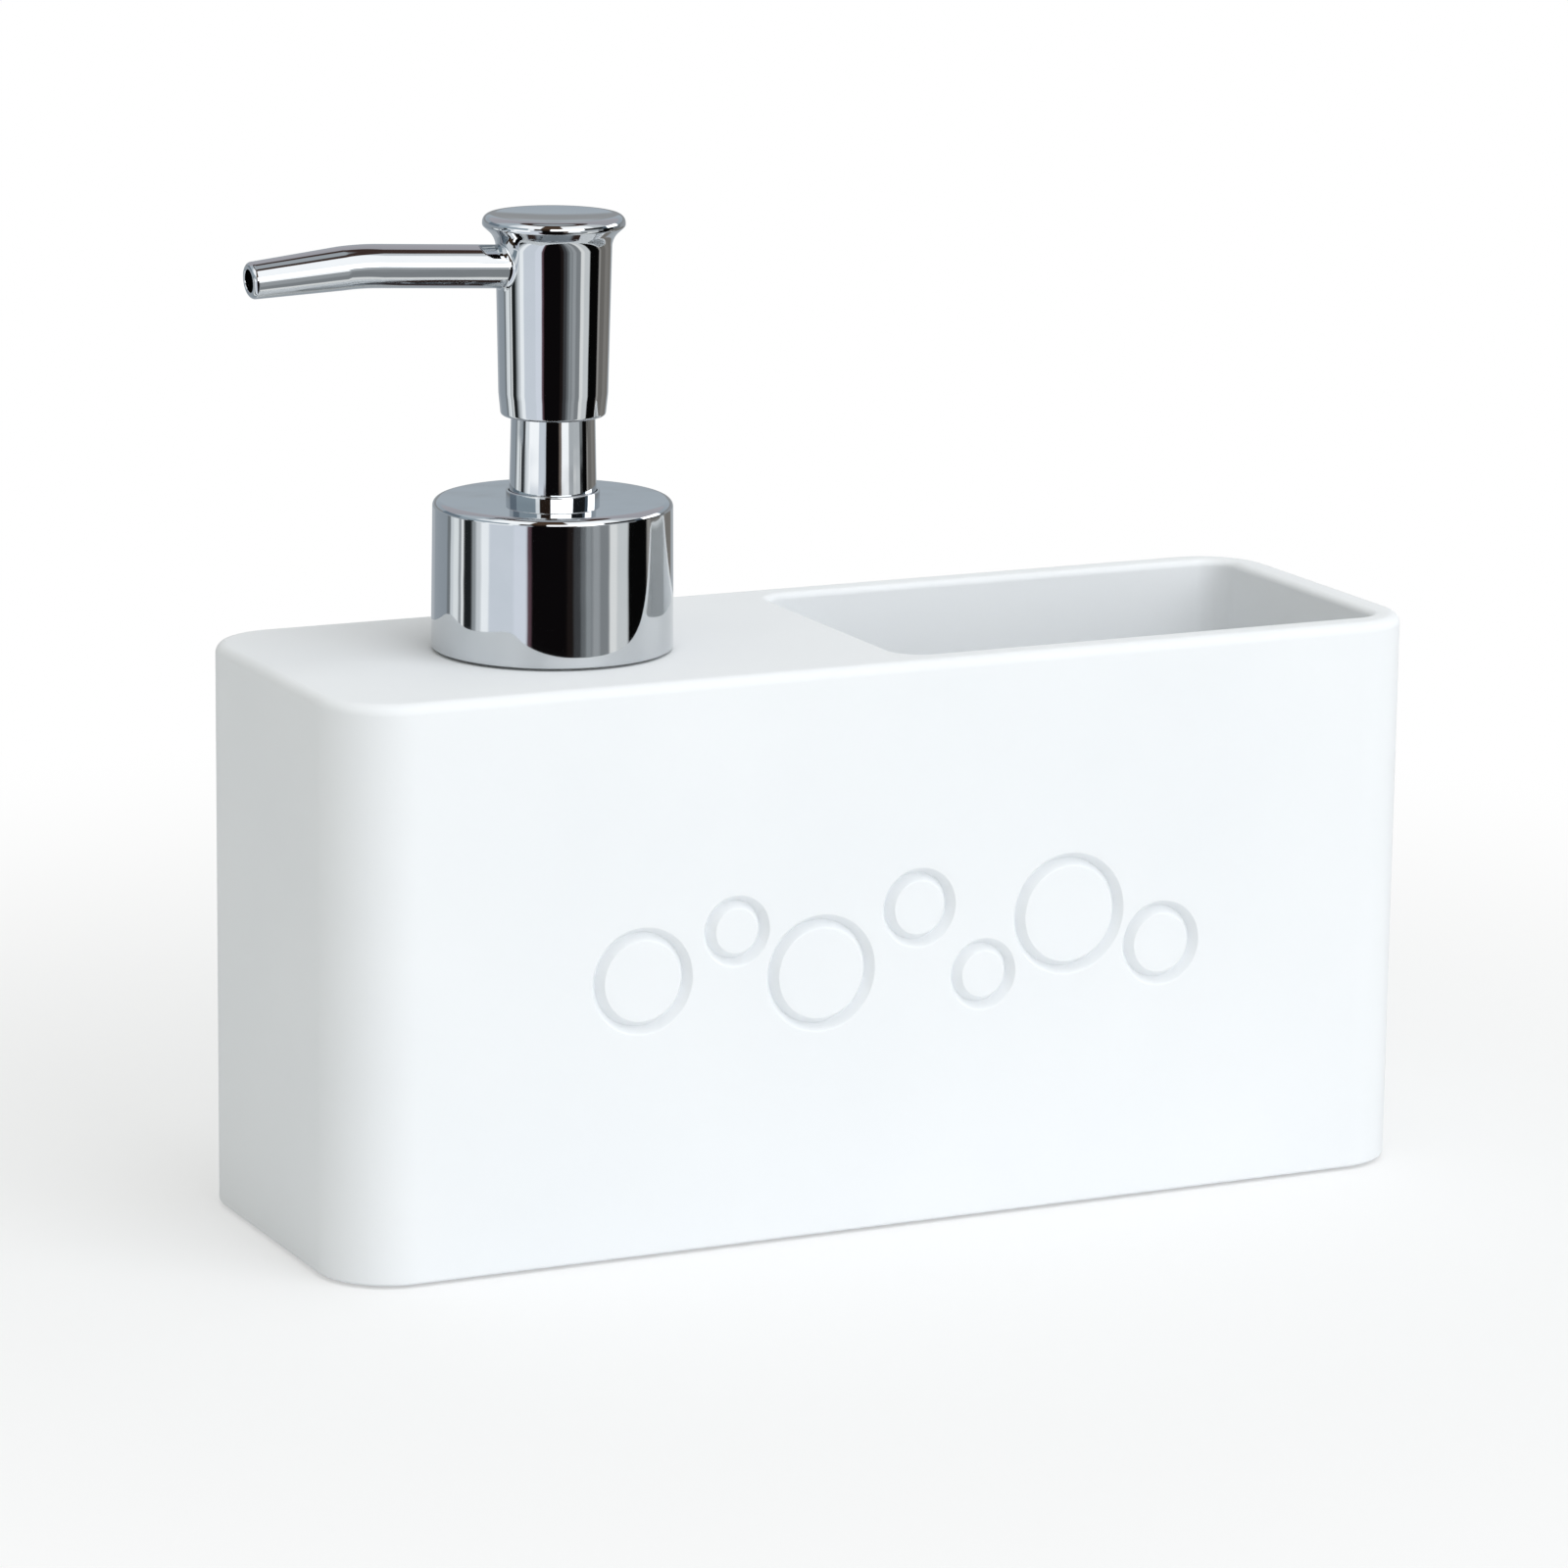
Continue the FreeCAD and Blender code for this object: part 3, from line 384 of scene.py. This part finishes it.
# %% Spout
SPOUT_LEVEL, SPOUT_SEAT, SPOUT_STRAIGHT, SPOUT_TIP = 128.8, 3.2, 27.6, 15.4
RISE, DROP = math.radians(3.1), math.radians(4.4)
SPOUT_RADIUS, TIP_RADIUS, SPOUT_BORE, BORE_DEPTH = 2.87, 2.42, 1.5, 12
BEND_REACH, BEND_STEPS, SPOUT_STEPS = 2.6, 10, 72
TIP_ROUND, MOUTH_ROUND = 0.7, 0.2
rising = Vector((-math.cos(RISE), 0, math.sin(RISE)))
dropping = Vector((-math.cos(DROP), 0, -math.sin(DROP)))
root = Vector((PUMP_X, 0, SPOUT_LEVEL))
bend = root + rising * SPOUT_STRAIGHT
tip = bend + dropping * SPOUT_TIP
across_rise = rising.to_track_quat("Z", "Y").to_matrix().to_4x4()

spout_mesh = bmesh.new()


def extrude_ring(ring, shift, centre, share):
    """Extrudes a ring of edges by a shift, scales the new ring about a centre and returns its edges."""
    grown = bmesh.ops.extrude_edge_only(spout_mesh, edges=ring)["geom"]
    verts = [item for item in grown if isinstance(item, bmesh.types.BMVert)]
    bmesh.ops.translate(spout_mesh, verts=verts, vec=shift)
    bmesh.ops.scale(spout_mesh, verts=verts, vec=(share, share, share), space=Matrix.Translation(-centre))
    return [item for item in grown if isinstance(item, bmesh.types.BMEdge)]


start = root + rising * SPOUT_SEAT
bmesh.ops.create_circle(spout_mesh, cap_ends=True, segments=SPOUT_STEPS, radius=SPOUT_RADIUS,
                        matrix=Matrix.Translation(start) @ across_rise)
ring = list(spout_mesh.edges)
run = SPOUT_STRAIGHT - SPOUT_SEAT - BEND_REACH
ring = extrude_ring(ring, rising * run, start + rising * run, 1)
below = Vector((-math.sin(RISE), 0, -math.cos(RISE)))
bend_radius = BEND_REACH / math.tan((RISE + DROP) / 2)
turned = bmesh.ops.spin(spout_mesh, geom=ring, cent=bend - rising * BEND_REACH + below * bend_radius,
                        axis=(0, 1, 0), dvec=(0, 0, 0), angle=-(RISE + DROP), steps=BEND_STEPS)
ring = [item for item in turned["geom_last"] if isinstance(item, bmesh.types.BMEdge)]
ring = extrude_ring(ring, dropping * (SPOUT_TIP - BEND_REACH), tip, TIP_RADIUS / SPOUT_RADIUS)
outer_edge = ring
ring = extrude_ring(ring, Vector(), tip, SPOUT_BORE / TIP_RADIUS)
mouth_edge = ring
ring = extrude_ring(ring, -dropping * BORE_DEPTH, tip - dropping * BORE_DEPTH, 1)
fill_between(spout_mesh, ring, dropping)
bmesh.ops.bevel(spout_mesh, geom=outer_edge, offset=TIP_ROUND, offset_type="OFFSET", affect="EDGES",
                segments=7, profile=0.5, material=-1)
bmesh.ops.bevel(spout_mesh, geom=[edge for edge in mouth_edge if edge.is_valid], offset=MOUTH_ROUND,
                offset_type="OFFSET", affect="EDGES", segments=3, profile=0.5, material=-1)
spout = finish_piece("spout", spout_mesh, "head", "chrome", "spout_tube")
print("tip at", tuple(round(value, 2) for value in tip))

# %% [markdown]
# ## Fillet at the spout's root
# Where the tube leaves the head, plating and moulding leave a soft fillet instead of a hard line. It is a
# small ring of loops round the tube: each loop is a circle across the spout whose points are pushed along
# the spout until they lie at the loop's height above the round skirt. The ring reaches a little into the
# tube and the skirt, so no gap can open between the three.

# %% Fillet at the root
FILLET, FILLET_STEPS, SKIRT_AT_SPOUT = 0.5, 8, 7.62
INTO_TUBE, INTO_SKIRT = 0.3, 0.4
fillet_mesh = bmesh.new()


def fillet_loop(reach, height):
    """A ring round the spout, at a height above the head's skirt."""
    ring = bmesh.ops.create_circle(fillet_mesh, cap_ends=False, segments=SPOUT_STEPS, radius=reach,
                                   matrix=Matrix.Translation(root) @ across_rise)["verts"]
    for vert in ring:
        skirt = math.sqrt((SKIRT_AT_SPOUT + height) ** 2 - vert.co.y ** 2)
        vert.co += rising * (skirt - (PUMP_X - vert.co.x))
    return list({edge for vert in ring for edge in vert.link_edges})


hollow = quarter_round(FILLET, FILLET_STEPS)
fillet_loops = [fillet_loop(SPOUT_RADIUS + away, height) for height, away in hollow]
fillet_loops.append(fillet_loop(SPOUT_RADIUS - INTO_TUBE, FILLET))
fillet_loops.append(fillet_loop(SPOUT_RADIUS - INTO_TUBE, -INTO_SKIRT))
fillet_loops.append(fillet_loop(SPOUT_RADIUS + FILLET, -INTO_SKIRT))
wall_through(fillet_mesh, fillet_loops + fillet_loops[:1])
fillet = finish_piece("spout_root", fillet_mesh, "head", "chrome")

# %% [markdown]
# ## Return spring
# Inside the barrel, a coil of steel wire lifts the piston. One circle, spun many times while it climbs,
# makes it. The piece stands for the rigid coil of the solids.

# %% Return spring
spring_low, spring_high = in_mm(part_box("return_spring"))
WIRE, COIL_RADIUS, COIL_TURNS, TURN_PARTS, WIRE_PARTS = 0.9, 5.6, 9.5, 36, 12
coil_height = spring_high.z - spring_low.z - WIRE
coil_steps = round(COIL_TURNS * TURN_PARTS)

spring_mesh = bmesh.new()
coil_start = Matrix.Translation((PUMP_X + COIL_RADIUS, 0, spring_low.z + WIRE / 2))
bmesh.ops.create_circle(spring_mesh, cap_ends=False, segments=WIRE_PARTS, radius=WIRE / 2,
                        matrix=coil_start @ Matrix.Rotation(math.pi / 2, 4, "X"))
bmesh.ops.spin(spring_mesh, geom=list(spring_mesh.verts) + list(spring_mesh.edges), cent=(PUMP_X, 0, 0),
               axis=(0, 0, 1), dvec=(0, 0, coil_height / coil_steps), angle=COIL_TURNS * math.tau,
               steps=coil_steps)
bmesh.ops.holes_fill(spring_mesh, edges=list(spring_mesh.edges), sides=WIRE_PARTS)
spring = finish_piece("spring_coil", spring_mesh, "pump_core", "spring_steel", "return_spring")
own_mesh(spring)

# %% [markdown]
# ## Foam pad
# A thin foam pad covers the plate and keeps the casting off the worktop. It is die-cut, so its lower edge
# is only slightly soft.

# %% Foam pad
pad_low, pad_high = in_mm(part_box("base_pad"))
PAD_CORNER, PAD_SOFT = 7.2, 0.4
pad_mesh = bmesh.new()


def pad_outline(inset, level):
    """An outline of the pad, set in from its edge."""
    return rounded_outline(pad_mesh, pad_low.x + inset, pad_high.x - inset, pad_high.y - inset,
                           PAD_CORNER - inset, level)


soft_curve = quarter_round(PAD_SOFT, steps=4)
pad_loops = [pad_outline(inset, pad_low.z + rise) for inset, rise in reversed(soft_curve)]
pad_loops.append(pad_outline(0, pad_high.z))
wall_through(pad_mesh, pad_loops)
fill_between(pad_mesh, pad_loops[0], (0, 0, -1))
fill_between(pad_mesh, pad_loops[-1], (0, 0, 1))
pad = finish_piece("foam_pad", pad_mesh, "caddy", "foam_pad", "base_pad")

# %% [markdown]
# ## Building a material
# Every finish here is a small tree of nodes. One function adds a node, sets it up and links it, and one
# turns a colour as a designer writes it into the linear values that the renderer counts in. Patterns
# read Object coordinates, which are metres on these pieces, so a scale is one over the real size. No real
# surface is quite even, so most finishes let a noise move their colour and roughness a little, and another
# pattern raise their surface. Two functions do that for all of them.

# %% Colours and nodes


def linear(code):
    """A colour of six hexadecimal digits as linear red, green, blue and alpha."""
    encoded = [int(code[start:start + 2], 16) / 255 for start in (0, 2, 4)]
    decoded = [value / 12.92 if value <= 0.04045 else ((value + 0.055) / 1.055) ** 2.4 for value in encoded]
    return decoded + [1]


def add_node(tree, kind, inputs=None, **settings):
    """Adds a node, gives it its settings, and sets or links its inputs."""
    node = tree.nodes.new(kind)
    for name, value in settings.items():
        setattr(node, name, value)
    for name, value in (inputs or {}).items():
        if isinstance(value, bpy.types.NodeSocket):
            tree.links.new(value, node.inputs[name])
        else:
            node.inputs[name].default_value = value
    return node


def new_material(name):
    """An empty material: its node tree, its main shader and the coordinates of the piece."""
    material = bpy.data.materials.new(name)
    material.use_nodes = True
    tree = material.node_tree
    tree.nodes.clear()
    shader = add_node(tree, "ShaderNodeBsdfPrincipled")
    add_node(tree, "ShaderNodeOutputMaterial", {"Surface": shader.outputs[0]})
    place = add_node(tree, "ShaderNodeTexCoord").outputs["Object"]
    return material, tree, shader, place


def per_mm(size):
    """The scale of a pattern whose features are so many millimetres wide."""
    return 1 / (size * MM)


def vary_finish(tree, shader, place, size, detail, colours, roughness):
    """Lets one noise, so many millimetres wide, move the colour and the roughness between two values."""
    noise = add_node(tree, "ShaderNodeTexNoise", {"Vector": place, "Scale": per_mm(size), "Detail": detail})
    dark, light = colours
    tint = add_node(tree, "ShaderNodeMix", data_type="RGBA",
                    inputs={0: noise.outputs["Fac"], 6: linear(dark), 7: linear(light)})
    gloss = add_node(tree, "ShaderNodeMapRange",
                     {"Value": noise.outputs["Fac"], "To Min": roughness[0], "To Max": roughness[1]})
    tree.links.new(tint.outputs[2], shader.inputs["Base Color"])
    tree.links.new(gloss.outputs[0], shader.inputs["Roughness"])


def add_relief(tree, shader, pattern, strength, height):
    """Raises a pattern from the surface by a height in millimetres."""
    relief = add_node(tree, "ShaderNodeBump",
                      {"Height": pattern, "Strength": strength, "Distance": height * MM})
    tree.links.new(relief.outputs[0], shader.inputs["Normal"])


# %% [markdown]
# ## Matte white casting
# Filled polyester resin under a thin matte lacquer. The eye reads it as almost plain, slightly cool white,
# and notices only a faint cloudiness from the pour, a fine sprayed grain and a sheen that changes a
# little from place to place. The grain of a real lacquer is about 0.2 mm; it is drawn at 0.45 mm, which
# is as coarse as it needs to be to show.

# %% Matte white casting
casting_white, tree, shader, place = new_material("lacquered_cast_resin")
shader.inputs["IOR"].default_value = 1.5
vary_finish(tree, shader, place, size=38, detail=3, colours=("EEF1F4", "F6F8FA"), roughness=(0.5, 0.62))
grain = add_node(tree, "ShaderNodeTexNoise", {"Vector": place, "Scale": per_mm(0.45), "Detail": 2})
add_relief(tree, shader, grain.outputs["Fac"], strength=0.12, height=0.05)
casting.data.materials.append(casting_white)
print("casting:", casting_white.name)

# %% [markdown]
# ## Bright chrome on moulded plastic
# The collar, stem, head and spout are plated plastic: a hard mirror, slightly blue, that gives back about
# six tenths of the light and follows the faint waves of the moulding under it. The waves are a few
# millimetres long and only microns high, enough to make the edges of the reflections swim a little.

# %% Bright chrome
chrome, tree, shader, place = new_material("chrome_plated_plastic")
shader.inputs["Metallic"].default_value = 1
vary_finish(tree, shader, place, size=5, detail=4, colours=("C6CACD", "CED1D4"), roughness=(0.02, 0.06))
wave = add_node(tree, "ShaderNodeTexNoise", {"Vector": place, "Scale": per_mm(7), "Detail": 1})
add_relief(tree, shader, wave.outputs["Fac"], strength=0.45, height=0.06)
for piece in (collar, stem, head, spout, fillet):
    piece.data.materials.append(chrome)
print("chrome:", chrome.name)

# %% [markdown]
# ## Moulded plastics of the pump's inside
# Neck, cap and core are white polypropylene, barrel and tubes are natural polyethylene, and the seals are
# a softer grey grade. All come from a mould with a fine satin texture and slight flow marks. One loop
# makes the three, because only colour, gloss and texture differ.

# %% Moulded plastics
PLASTICS = (
    ("white_plastic", "moulded_polypropylene", ("E4E4E1", "EEEEEC"), (0.32, 0.42), 0.5),
    ("natural_plastic", "natural_polyethylene", ("D6D9D8", "E3E6E4"), (0.36, 0.48), 0.7),
    ("soft_seal", "soft_grey_polyethylene", ("9EA1A5", "A9ACAF"), (0.5, 0.62), 0.4),
)
finishes = {}
for slot, name, colours, roughness, texture in PLASTICS:
    material, tree, shader, place = new_material(name)
    vary_finish(tree, shader, place, size=9, detail=3, colours=colours, roughness=roughness)
    satin = add_node(tree, "ShaderNodeTexNoise", {"Vector": place, "Scale": per_mm(texture), "Detail": 2})
    add_relief(tree, shader, satin.outputs["Fac"], strength=0.15, height=0.04)
    finishes[slot] = material
print("plastics:", ", ".join(finishes))

# %% [markdown]
# ## Steel of the balls and the spring
# The valve balls are ground and polished, and the spring is drawn wire. Both are stainless steel, so one
# loop serves: the balls keep a faint cloudy polish, and the wire has finer marks and a duller surface.

# %% Steel
STEELS = (
    ("ball_steel", "polished_steel_ball", ("9C9DA0", "A8A9AB"), (0.08, 0.16), 0.8),
    ("spring_steel", "drawn_spring_wire", ("86878A", "98999C"), (0.24, 0.38), 0.35),
)
for slot, name, colours, roughness, texture in STEELS:
    material, tree, shader, place = new_material(name)
    shader.inputs["Metallic"].default_value = 1
    vary_finish(tree, shader, place, size=texture, detail=4, colours=colours, roughness=roughness)
    finishes[slot] = material
spring.data.materials.append(finishes["spring_steel"])
print("steel on", spring.name)

# %% [markdown]
# ## Foam
# The pad is closed-cell foam: off-white, dull, with a skin of small raised cells whose rims are painted
# darker as shade.

# %% Foam
foam, tree, shader, place = new_material("closed_cell_foam")
cells = add_node(tree, "ShaderNodeTexVoronoi", {"Vector": place, "Scale": per_mm(0.9)})
# painted shade: the colour darkens from each cell's middle towards its rim
tint = add_node(tree, "ShaderNodeMix", data_type="RGBA",
                inputs={0: cells.outputs["Distance"], 6: linear("E2E1DC"), 7: linear("CFCEC8")})
shader.inputs["Roughness"].default_value = 0.9
tree.links.new(tint.outputs[2], shader.inputs["Base Color"])
add_relief(tree, shader, cells.outputs["Distance"], strength=0.5, height=0.2)
pad.data.materials.append(foam)

# %% [markdown]
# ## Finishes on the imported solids
# Thirteen solids stay as they are: the neck, the plate and the pump's inside. The record names a finish
# for every solid, so each takes its material by that name, the ones under the modelled pieces too.

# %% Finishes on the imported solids
finishes.update(foam_pad=foam, casting=casting_white, chrome=chrome)
for part in frame["record"]["subparts"]:
    node = frame["nodes"][part["node"]]
    for holder in node.material_slots:
        holder.material = finishes[part["material_slot"]]
print("finishes:", ", ".join(sorted(finishes)))

# %% [markdown]
# ## Camera
# The camera stands to the left of the front, a little above the caddy, with a long lens, so the upright
# edges lean in only slightly. Its three axes are worked out from two angles and a small roll.

# %% Camera
AZIMUTH, ELEVATION, ROLL = math.radians(-25.78), math.radians(12.67), math.radians(0.69)
AIM, DISTANCE, LENS, SENSOR = Vector((-4.76, 0, 56.05)) * MM, 891.9 * MM, 150.345, 36
backward = Vector((math.sin(AZIMUTH) * math.cos(ELEVATION), -math.cos(AZIMUTH) * math.cos(ELEVATION),
                   math.sin(ELEVATION)))
level_right = Vector((math.cos(AZIMUTH), math.sin(AZIMUTH), 0))
level_up = backward.cross(level_right)
right = level_right * math.cos(ROLL) + level_up * math.sin(ROLL)
up = level_up * math.cos(ROLL) - level_right * math.sin(ROLL)
camera_data = bpy.data.cameras.new("camera")
camera_data.lens, camera_data.sensor_width = LENS, SENSOR
camera = bpy.data.objects.new("camera", camera_data)
scene.collection.objects.link(camera)
turn = Matrix((right, up, backward)).transposed().to_4x4()
camera.matrix_world = Matrix.Translation(AIM + backward * DISTANCE) @ turn
scene.camera = camera
print("camera at", tuple(round(value, 3) for value in camera.location))

# %% [markdown]
# ## Studio: surroundings
# A mirror shows the room, not the lamps alone. Chrome looks like chrome when it sees tall bright and dark
# fields, as from windows, cards and a dark corner where the camera stands. The world gives each kind of
# ray what it needs: white for the camera, soft even light for dull surfaces, and a whole room for mirrors.
# Upright bands of light and shade, each with its angle from the camera, are one colour ramp for each half
# of the round.

# %% Bands of the room
BAND_SOFT, SILL_GLOW, WHITE = 1, 2.2, "FFFFFF"
LEFT_BANDS = (
    (-180, "9A9FA4"), (-150, "8B9298"), (-118, "6E7376"), (-112, "C9CDCF"), (-107, "DDE0E0"),
    (-99, "8F9395"), (-95, "F0F1F0"), (-92, "1E2122"), (-81, "8E9294"), (-76, "C8CBCD"), (-70, "EEF0F1"),
    (-61, "CACFD6"), (-35, "D3D7DF"), (-22, "584249"), (-18, "0B090A"),
)
RIGHT_BANDS = (
    (-180, "0B090A"), (16, "1C1716"), (22, "3C3D3F"), (29, "636668"), (34, "888C8E"), (39, "7C7F81"),
    (41, "96999B"), (48, "7E8183"), (58, "DCDCDA"), (66, "C6C8C8"), (79, "070707"), (104, "8C8985"),
    (110, "6A6763"), (126, "7A7773"), (140, "706D69"), (157, "969B9F"),
)
LEDGE_BANDS = (
    (-180, "8F959A"), (-86, "3A3D3F"), (-78, "D8DBDD"), (-65, WHITE), (-36, "C8CDD4"), (-17, "0B090A"),
    (18, "6A5F58"), (25, WHITE), (45, "AEB1B3"), (78, "7C7F81"), (88, "0A0A0A"), (112, "6E7173"),
    (135, "8A8D90"),
)
SILL_BANDS = (
    (-180, "828486"), (-128, "6A757F"), (-98, "8F9BA3"), (-40, "F4F6F7"), (-30, "2A201A"), (-3, WHITE),
    (52, "1A1C1E"), (88, "4C5660"), (98, WHITE), (126, "828486"),
)
SHELF_BANDS = ((-180, "969EA5"), *SILL_BANDS[1:-1], (126, "969EA5"))
WINDOW_BANDS = (
    (-180, "A09EA3"), (-112, "A9B1B7"), (-80, "DDE1E4"), (-62, WHITE), (-20, "4A3A2E"), (17, WHITE),
    (72, "C4C7C9"), (100, "A09EA3"),
)

world = bpy.data.worlds.new("studio")
scene.world = world
world.use_nodes = True
tree = world.node_tree
tree.nodes.clear()
heading = add_node(tree, "ShaderNodeVectorRotate",
                   {"Vector": add_node(tree, "ShaderNodeTexCoord").outputs["Generated"], "Angle": -AZIMUTH},
                   rotation_type="Z_AXIS")
axes = add_node(tree, "ShaderNodeSeparateXYZ", {0: heading.outputs[0]})
toward = add_node(tree, "ShaderNodeMath", {0: axes.outputs["Y"], 1: -1}, operation="MULTIPLY")
angle = add_node(tree, "ShaderNodeMath", {0: axes.outputs["X"], 1: toward.outputs[0]}, operation="ARCTAN2")
share = add_node(tree, "ShaderNodeMapRange",
                 {"Value": angle.outputs[0], "From Min": -math.pi, "From Max": math.pi}).outputs[0]


def bands_around(bands, glow=1):
    """Soft-edged bands of (start angle, colour) round the room, whose white ones shine by a factor."""
    stops = [(-180, bands[0][1])]
    for (start, code), (_, before) in zip(bands[1:], bands):
        stops += [(start - BAND_SOFT, before), (start + BAND_SOFT, code)]
    ramp = add_node(tree, "ShaderNodeValToRGB", {"Fac": share})
    for _ in stops[2:]:
        ramp.color_ramp.elements.new(1)
    for element, (degrees, code) in zip(ramp.color_ramp.elements, stops):
        element.position = (degrees + 180) / 360
        element.color = [value * (glow if code == WHITE else 1) for value in linear(code)]
    return ramp.outputs[0]


right_half = add_node(tree, "ShaderNodeMath", {0: share, 1: 0.5}, operation="GREATER_THAN").outputs[0]
room = add_node(tree, "ShaderNodeMix",
                {0: right_half, 6: bands_around(LEFT_BANDS), 7: bands_around(RIGHT_BANDS)}, data_type="RGBA")
print(f"room of {len(LEFT_BANDS) + len(RIGHT_BANDS)} upright bands")

# %% [markdown]
# ## Studio: the room as a stack
# The room is layered by height: upright bands, bright ledges, window sills, a shelf along the back, the
# windows, a dark beam and the ceiling. Flat and curved chrome looks at different heights, so a flat top
# shows one layer and the bent spout shows them all. The lip round the stem sees the sills by way of the
# collar's top, two mirrors in a row, so the sills shine to stay white there. The last nodes share the
# views out to the rays.

# %% Stack of the room and what each ray sees
MIRROR_STRENGTH, SOFT_STRENGTH = 1.5, 0.58
height = add_node(tree, "ShaderNodeMath", {0: axes.outputs["Z"]}, operation="ARCSINE").outputs[0]
view = room.outputs[2]
for low_edge, high_edge, layer in (
    (-8.3, -7.5, bands_around(LEDGE_BANDS)),
    (1, 4, bands_around(SILL_BANDS, SILL_GLOW)),
    (8, 10.5, bands_around(SHELF_BANDS, SILL_GLOW)),
    (18, 24, bands_around(WINDOW_BANDS)),
    (60, 62, linear("3E302C")),
    (70, 74, linear("9CA1A5")),
):
    above = add_node(tree, "ShaderNodeMapRange", {
        "Value": height, "From Min": math.radians(low_edge), "From Max": math.radians(high_edge),
    }, interpolation_type="SMOOTHSTEP").outputs[0]
    view = add_node(tree, "ShaderNodeMix", {0: above, 6: view, 7: layer}, data_type="RGBA").outputs[2]
ray = add_node(tree, "ShaderNodeLightPath")
mirror_view = add_node(tree, "ShaderNodeBackground", {"Color": view, "Strength": MIRROR_STRENGTH})
soft_light = add_node(tree, "ShaderNodeBackground", {"Color": linear("F8F8F2"), "Strength": SOFT_STRENGTH})
white_view = add_node(tree, "ShaderNodeBackground", {"Color": (1, 1, 1, 1)})
seen = add_node(tree, "ShaderNodeMixShader",
                {0: ray.outputs["Is Glossy Ray"], 1: soft_light.outputs[0], 2: mirror_view.outputs[0]})
shown = add_node(tree, "ShaderNodeMixShader",
                 {0: ray.outputs["Is Camera Ray"], 1: seen.outputs[0], 2: white_view.outputs[0]})
add_node(tree, "ShaderNodeOutputWorld", {"Surface": shown.outputs[0]})
print("world:", world.name)

# %% [markdown]
# ## Studio: floor
# A wide pale floor takes the soft shadow. Near the caddy it shows its own light and shade, and further out
# the camera sees it fade to plain white, so there is no horizon. Mirrors don't see it: they see the room.

# %% Floor
FLOOR_SIZE, FADE_FROM, FADE_TO, LEAST_FADE = 3, 0.1, 0.3, 0.45
floor_mesh = bmesh.new()
bmesh.ops.create_grid(floor_mesh, x_segments=4, y_segments=4, size=FLOOR_SIZE)
floor_data = bpy.data.meshes.new("floor")
floor_mesh.to_mesh(floor_data)
floor_mesh.free()
floor = bpy.data.objects.new("floor", floor_data)
scene.collection.objects.link(floor)
floor.visible_glossy = False
paper, tree, shader, place = new_material("white_paper")
shader.inputs["Base Color"].default_value = linear("F2F3F4")
shader.inputs["Roughness"].default_value = 0.9
shader.inputs["Specular IOR Level"].default_value = 0
reach = add_node(tree, "ShaderNodeVectorMath", {0: place}, operation="LENGTH").outputs["Value"]
fade = add_node(tree, "ShaderNodeMapRange",
                {"Value": reach, "From Min": FADE_FROM, "From Max": FADE_TO, "To Min": LEAST_FADE},
                interpolation_type="SMOOTHSTEP").outputs[0]
ray = add_node(tree, "ShaderNodeLightPath")
whiteness = add_node(tree, "ShaderNodeMath", {0: ray.outputs["Is Camera Ray"], 1: fade},
                     operation="MULTIPLY")
plain = add_node(tree, "ShaderNodeEmission", {"Color": (1, 1, 1, 1)})
surface = add_node(tree, "ShaderNodeMixShader",
                   {0: whiteness.outputs[0], 1: shader.outputs[0], 2: plain.outputs[0]})
tree.links.new(surface.outputs[0], tree.nodes["Material Output"].inputs["Surface"])
floor_data.materials.append(paper)
print("floor:", paper.name)

# %% [markdown]
# ## Studio: lamps
# One large lamp stands to the right of the front, which leaves the left side in light shade as in daylight
# from one side, and a weaker one hangs overhead. Far away and large, the first lights the whole front
# evenly and wraps a little round the corners.

# %% Lamps


def add_lamp(name, azimuth, elevation, distance, size, power, tint):
    """A square soft lamp that looks at the caddy and isn't seen in the chrome."""
    lamp_data = bpy.data.lights.new(name, "AREA")
    lamp_data.shape, lamp_data.size, lamp_data.energy = "SQUARE", size, power
    lamp_data.color = linear(tint)[:3]
    lamp = bpy.data.objects.new(name, lamp_data)
    scene.collection.objects.link(lamp)
    turn, lift = math.radians(azimuth), math.radians(elevation)
    way = Vector((math.sin(turn) * math.cos(lift), -math.cos(turn) * math.cos(lift), math.sin(lift)))
    facing = way.to_track_quat("Z", "Y").to_matrix().to_4x4()
    lamp.matrix_world = Matrix.Translation(AIM + way * distance) @ facing
    lamp.visible_glossy = False
    print(f"{name}: {power} W at {azimuth} degrees round, {elevation} up")


add_lamp("key_lamp", azimuth=24, elevation=27, distance=2.4, size=2.1, power=25, tint="F7FAFF")
add_lamp("top_lamp", azimuth=20, elevation=76, distance=1.4, size=0.8, power=5.8, tint="F7FAFF")
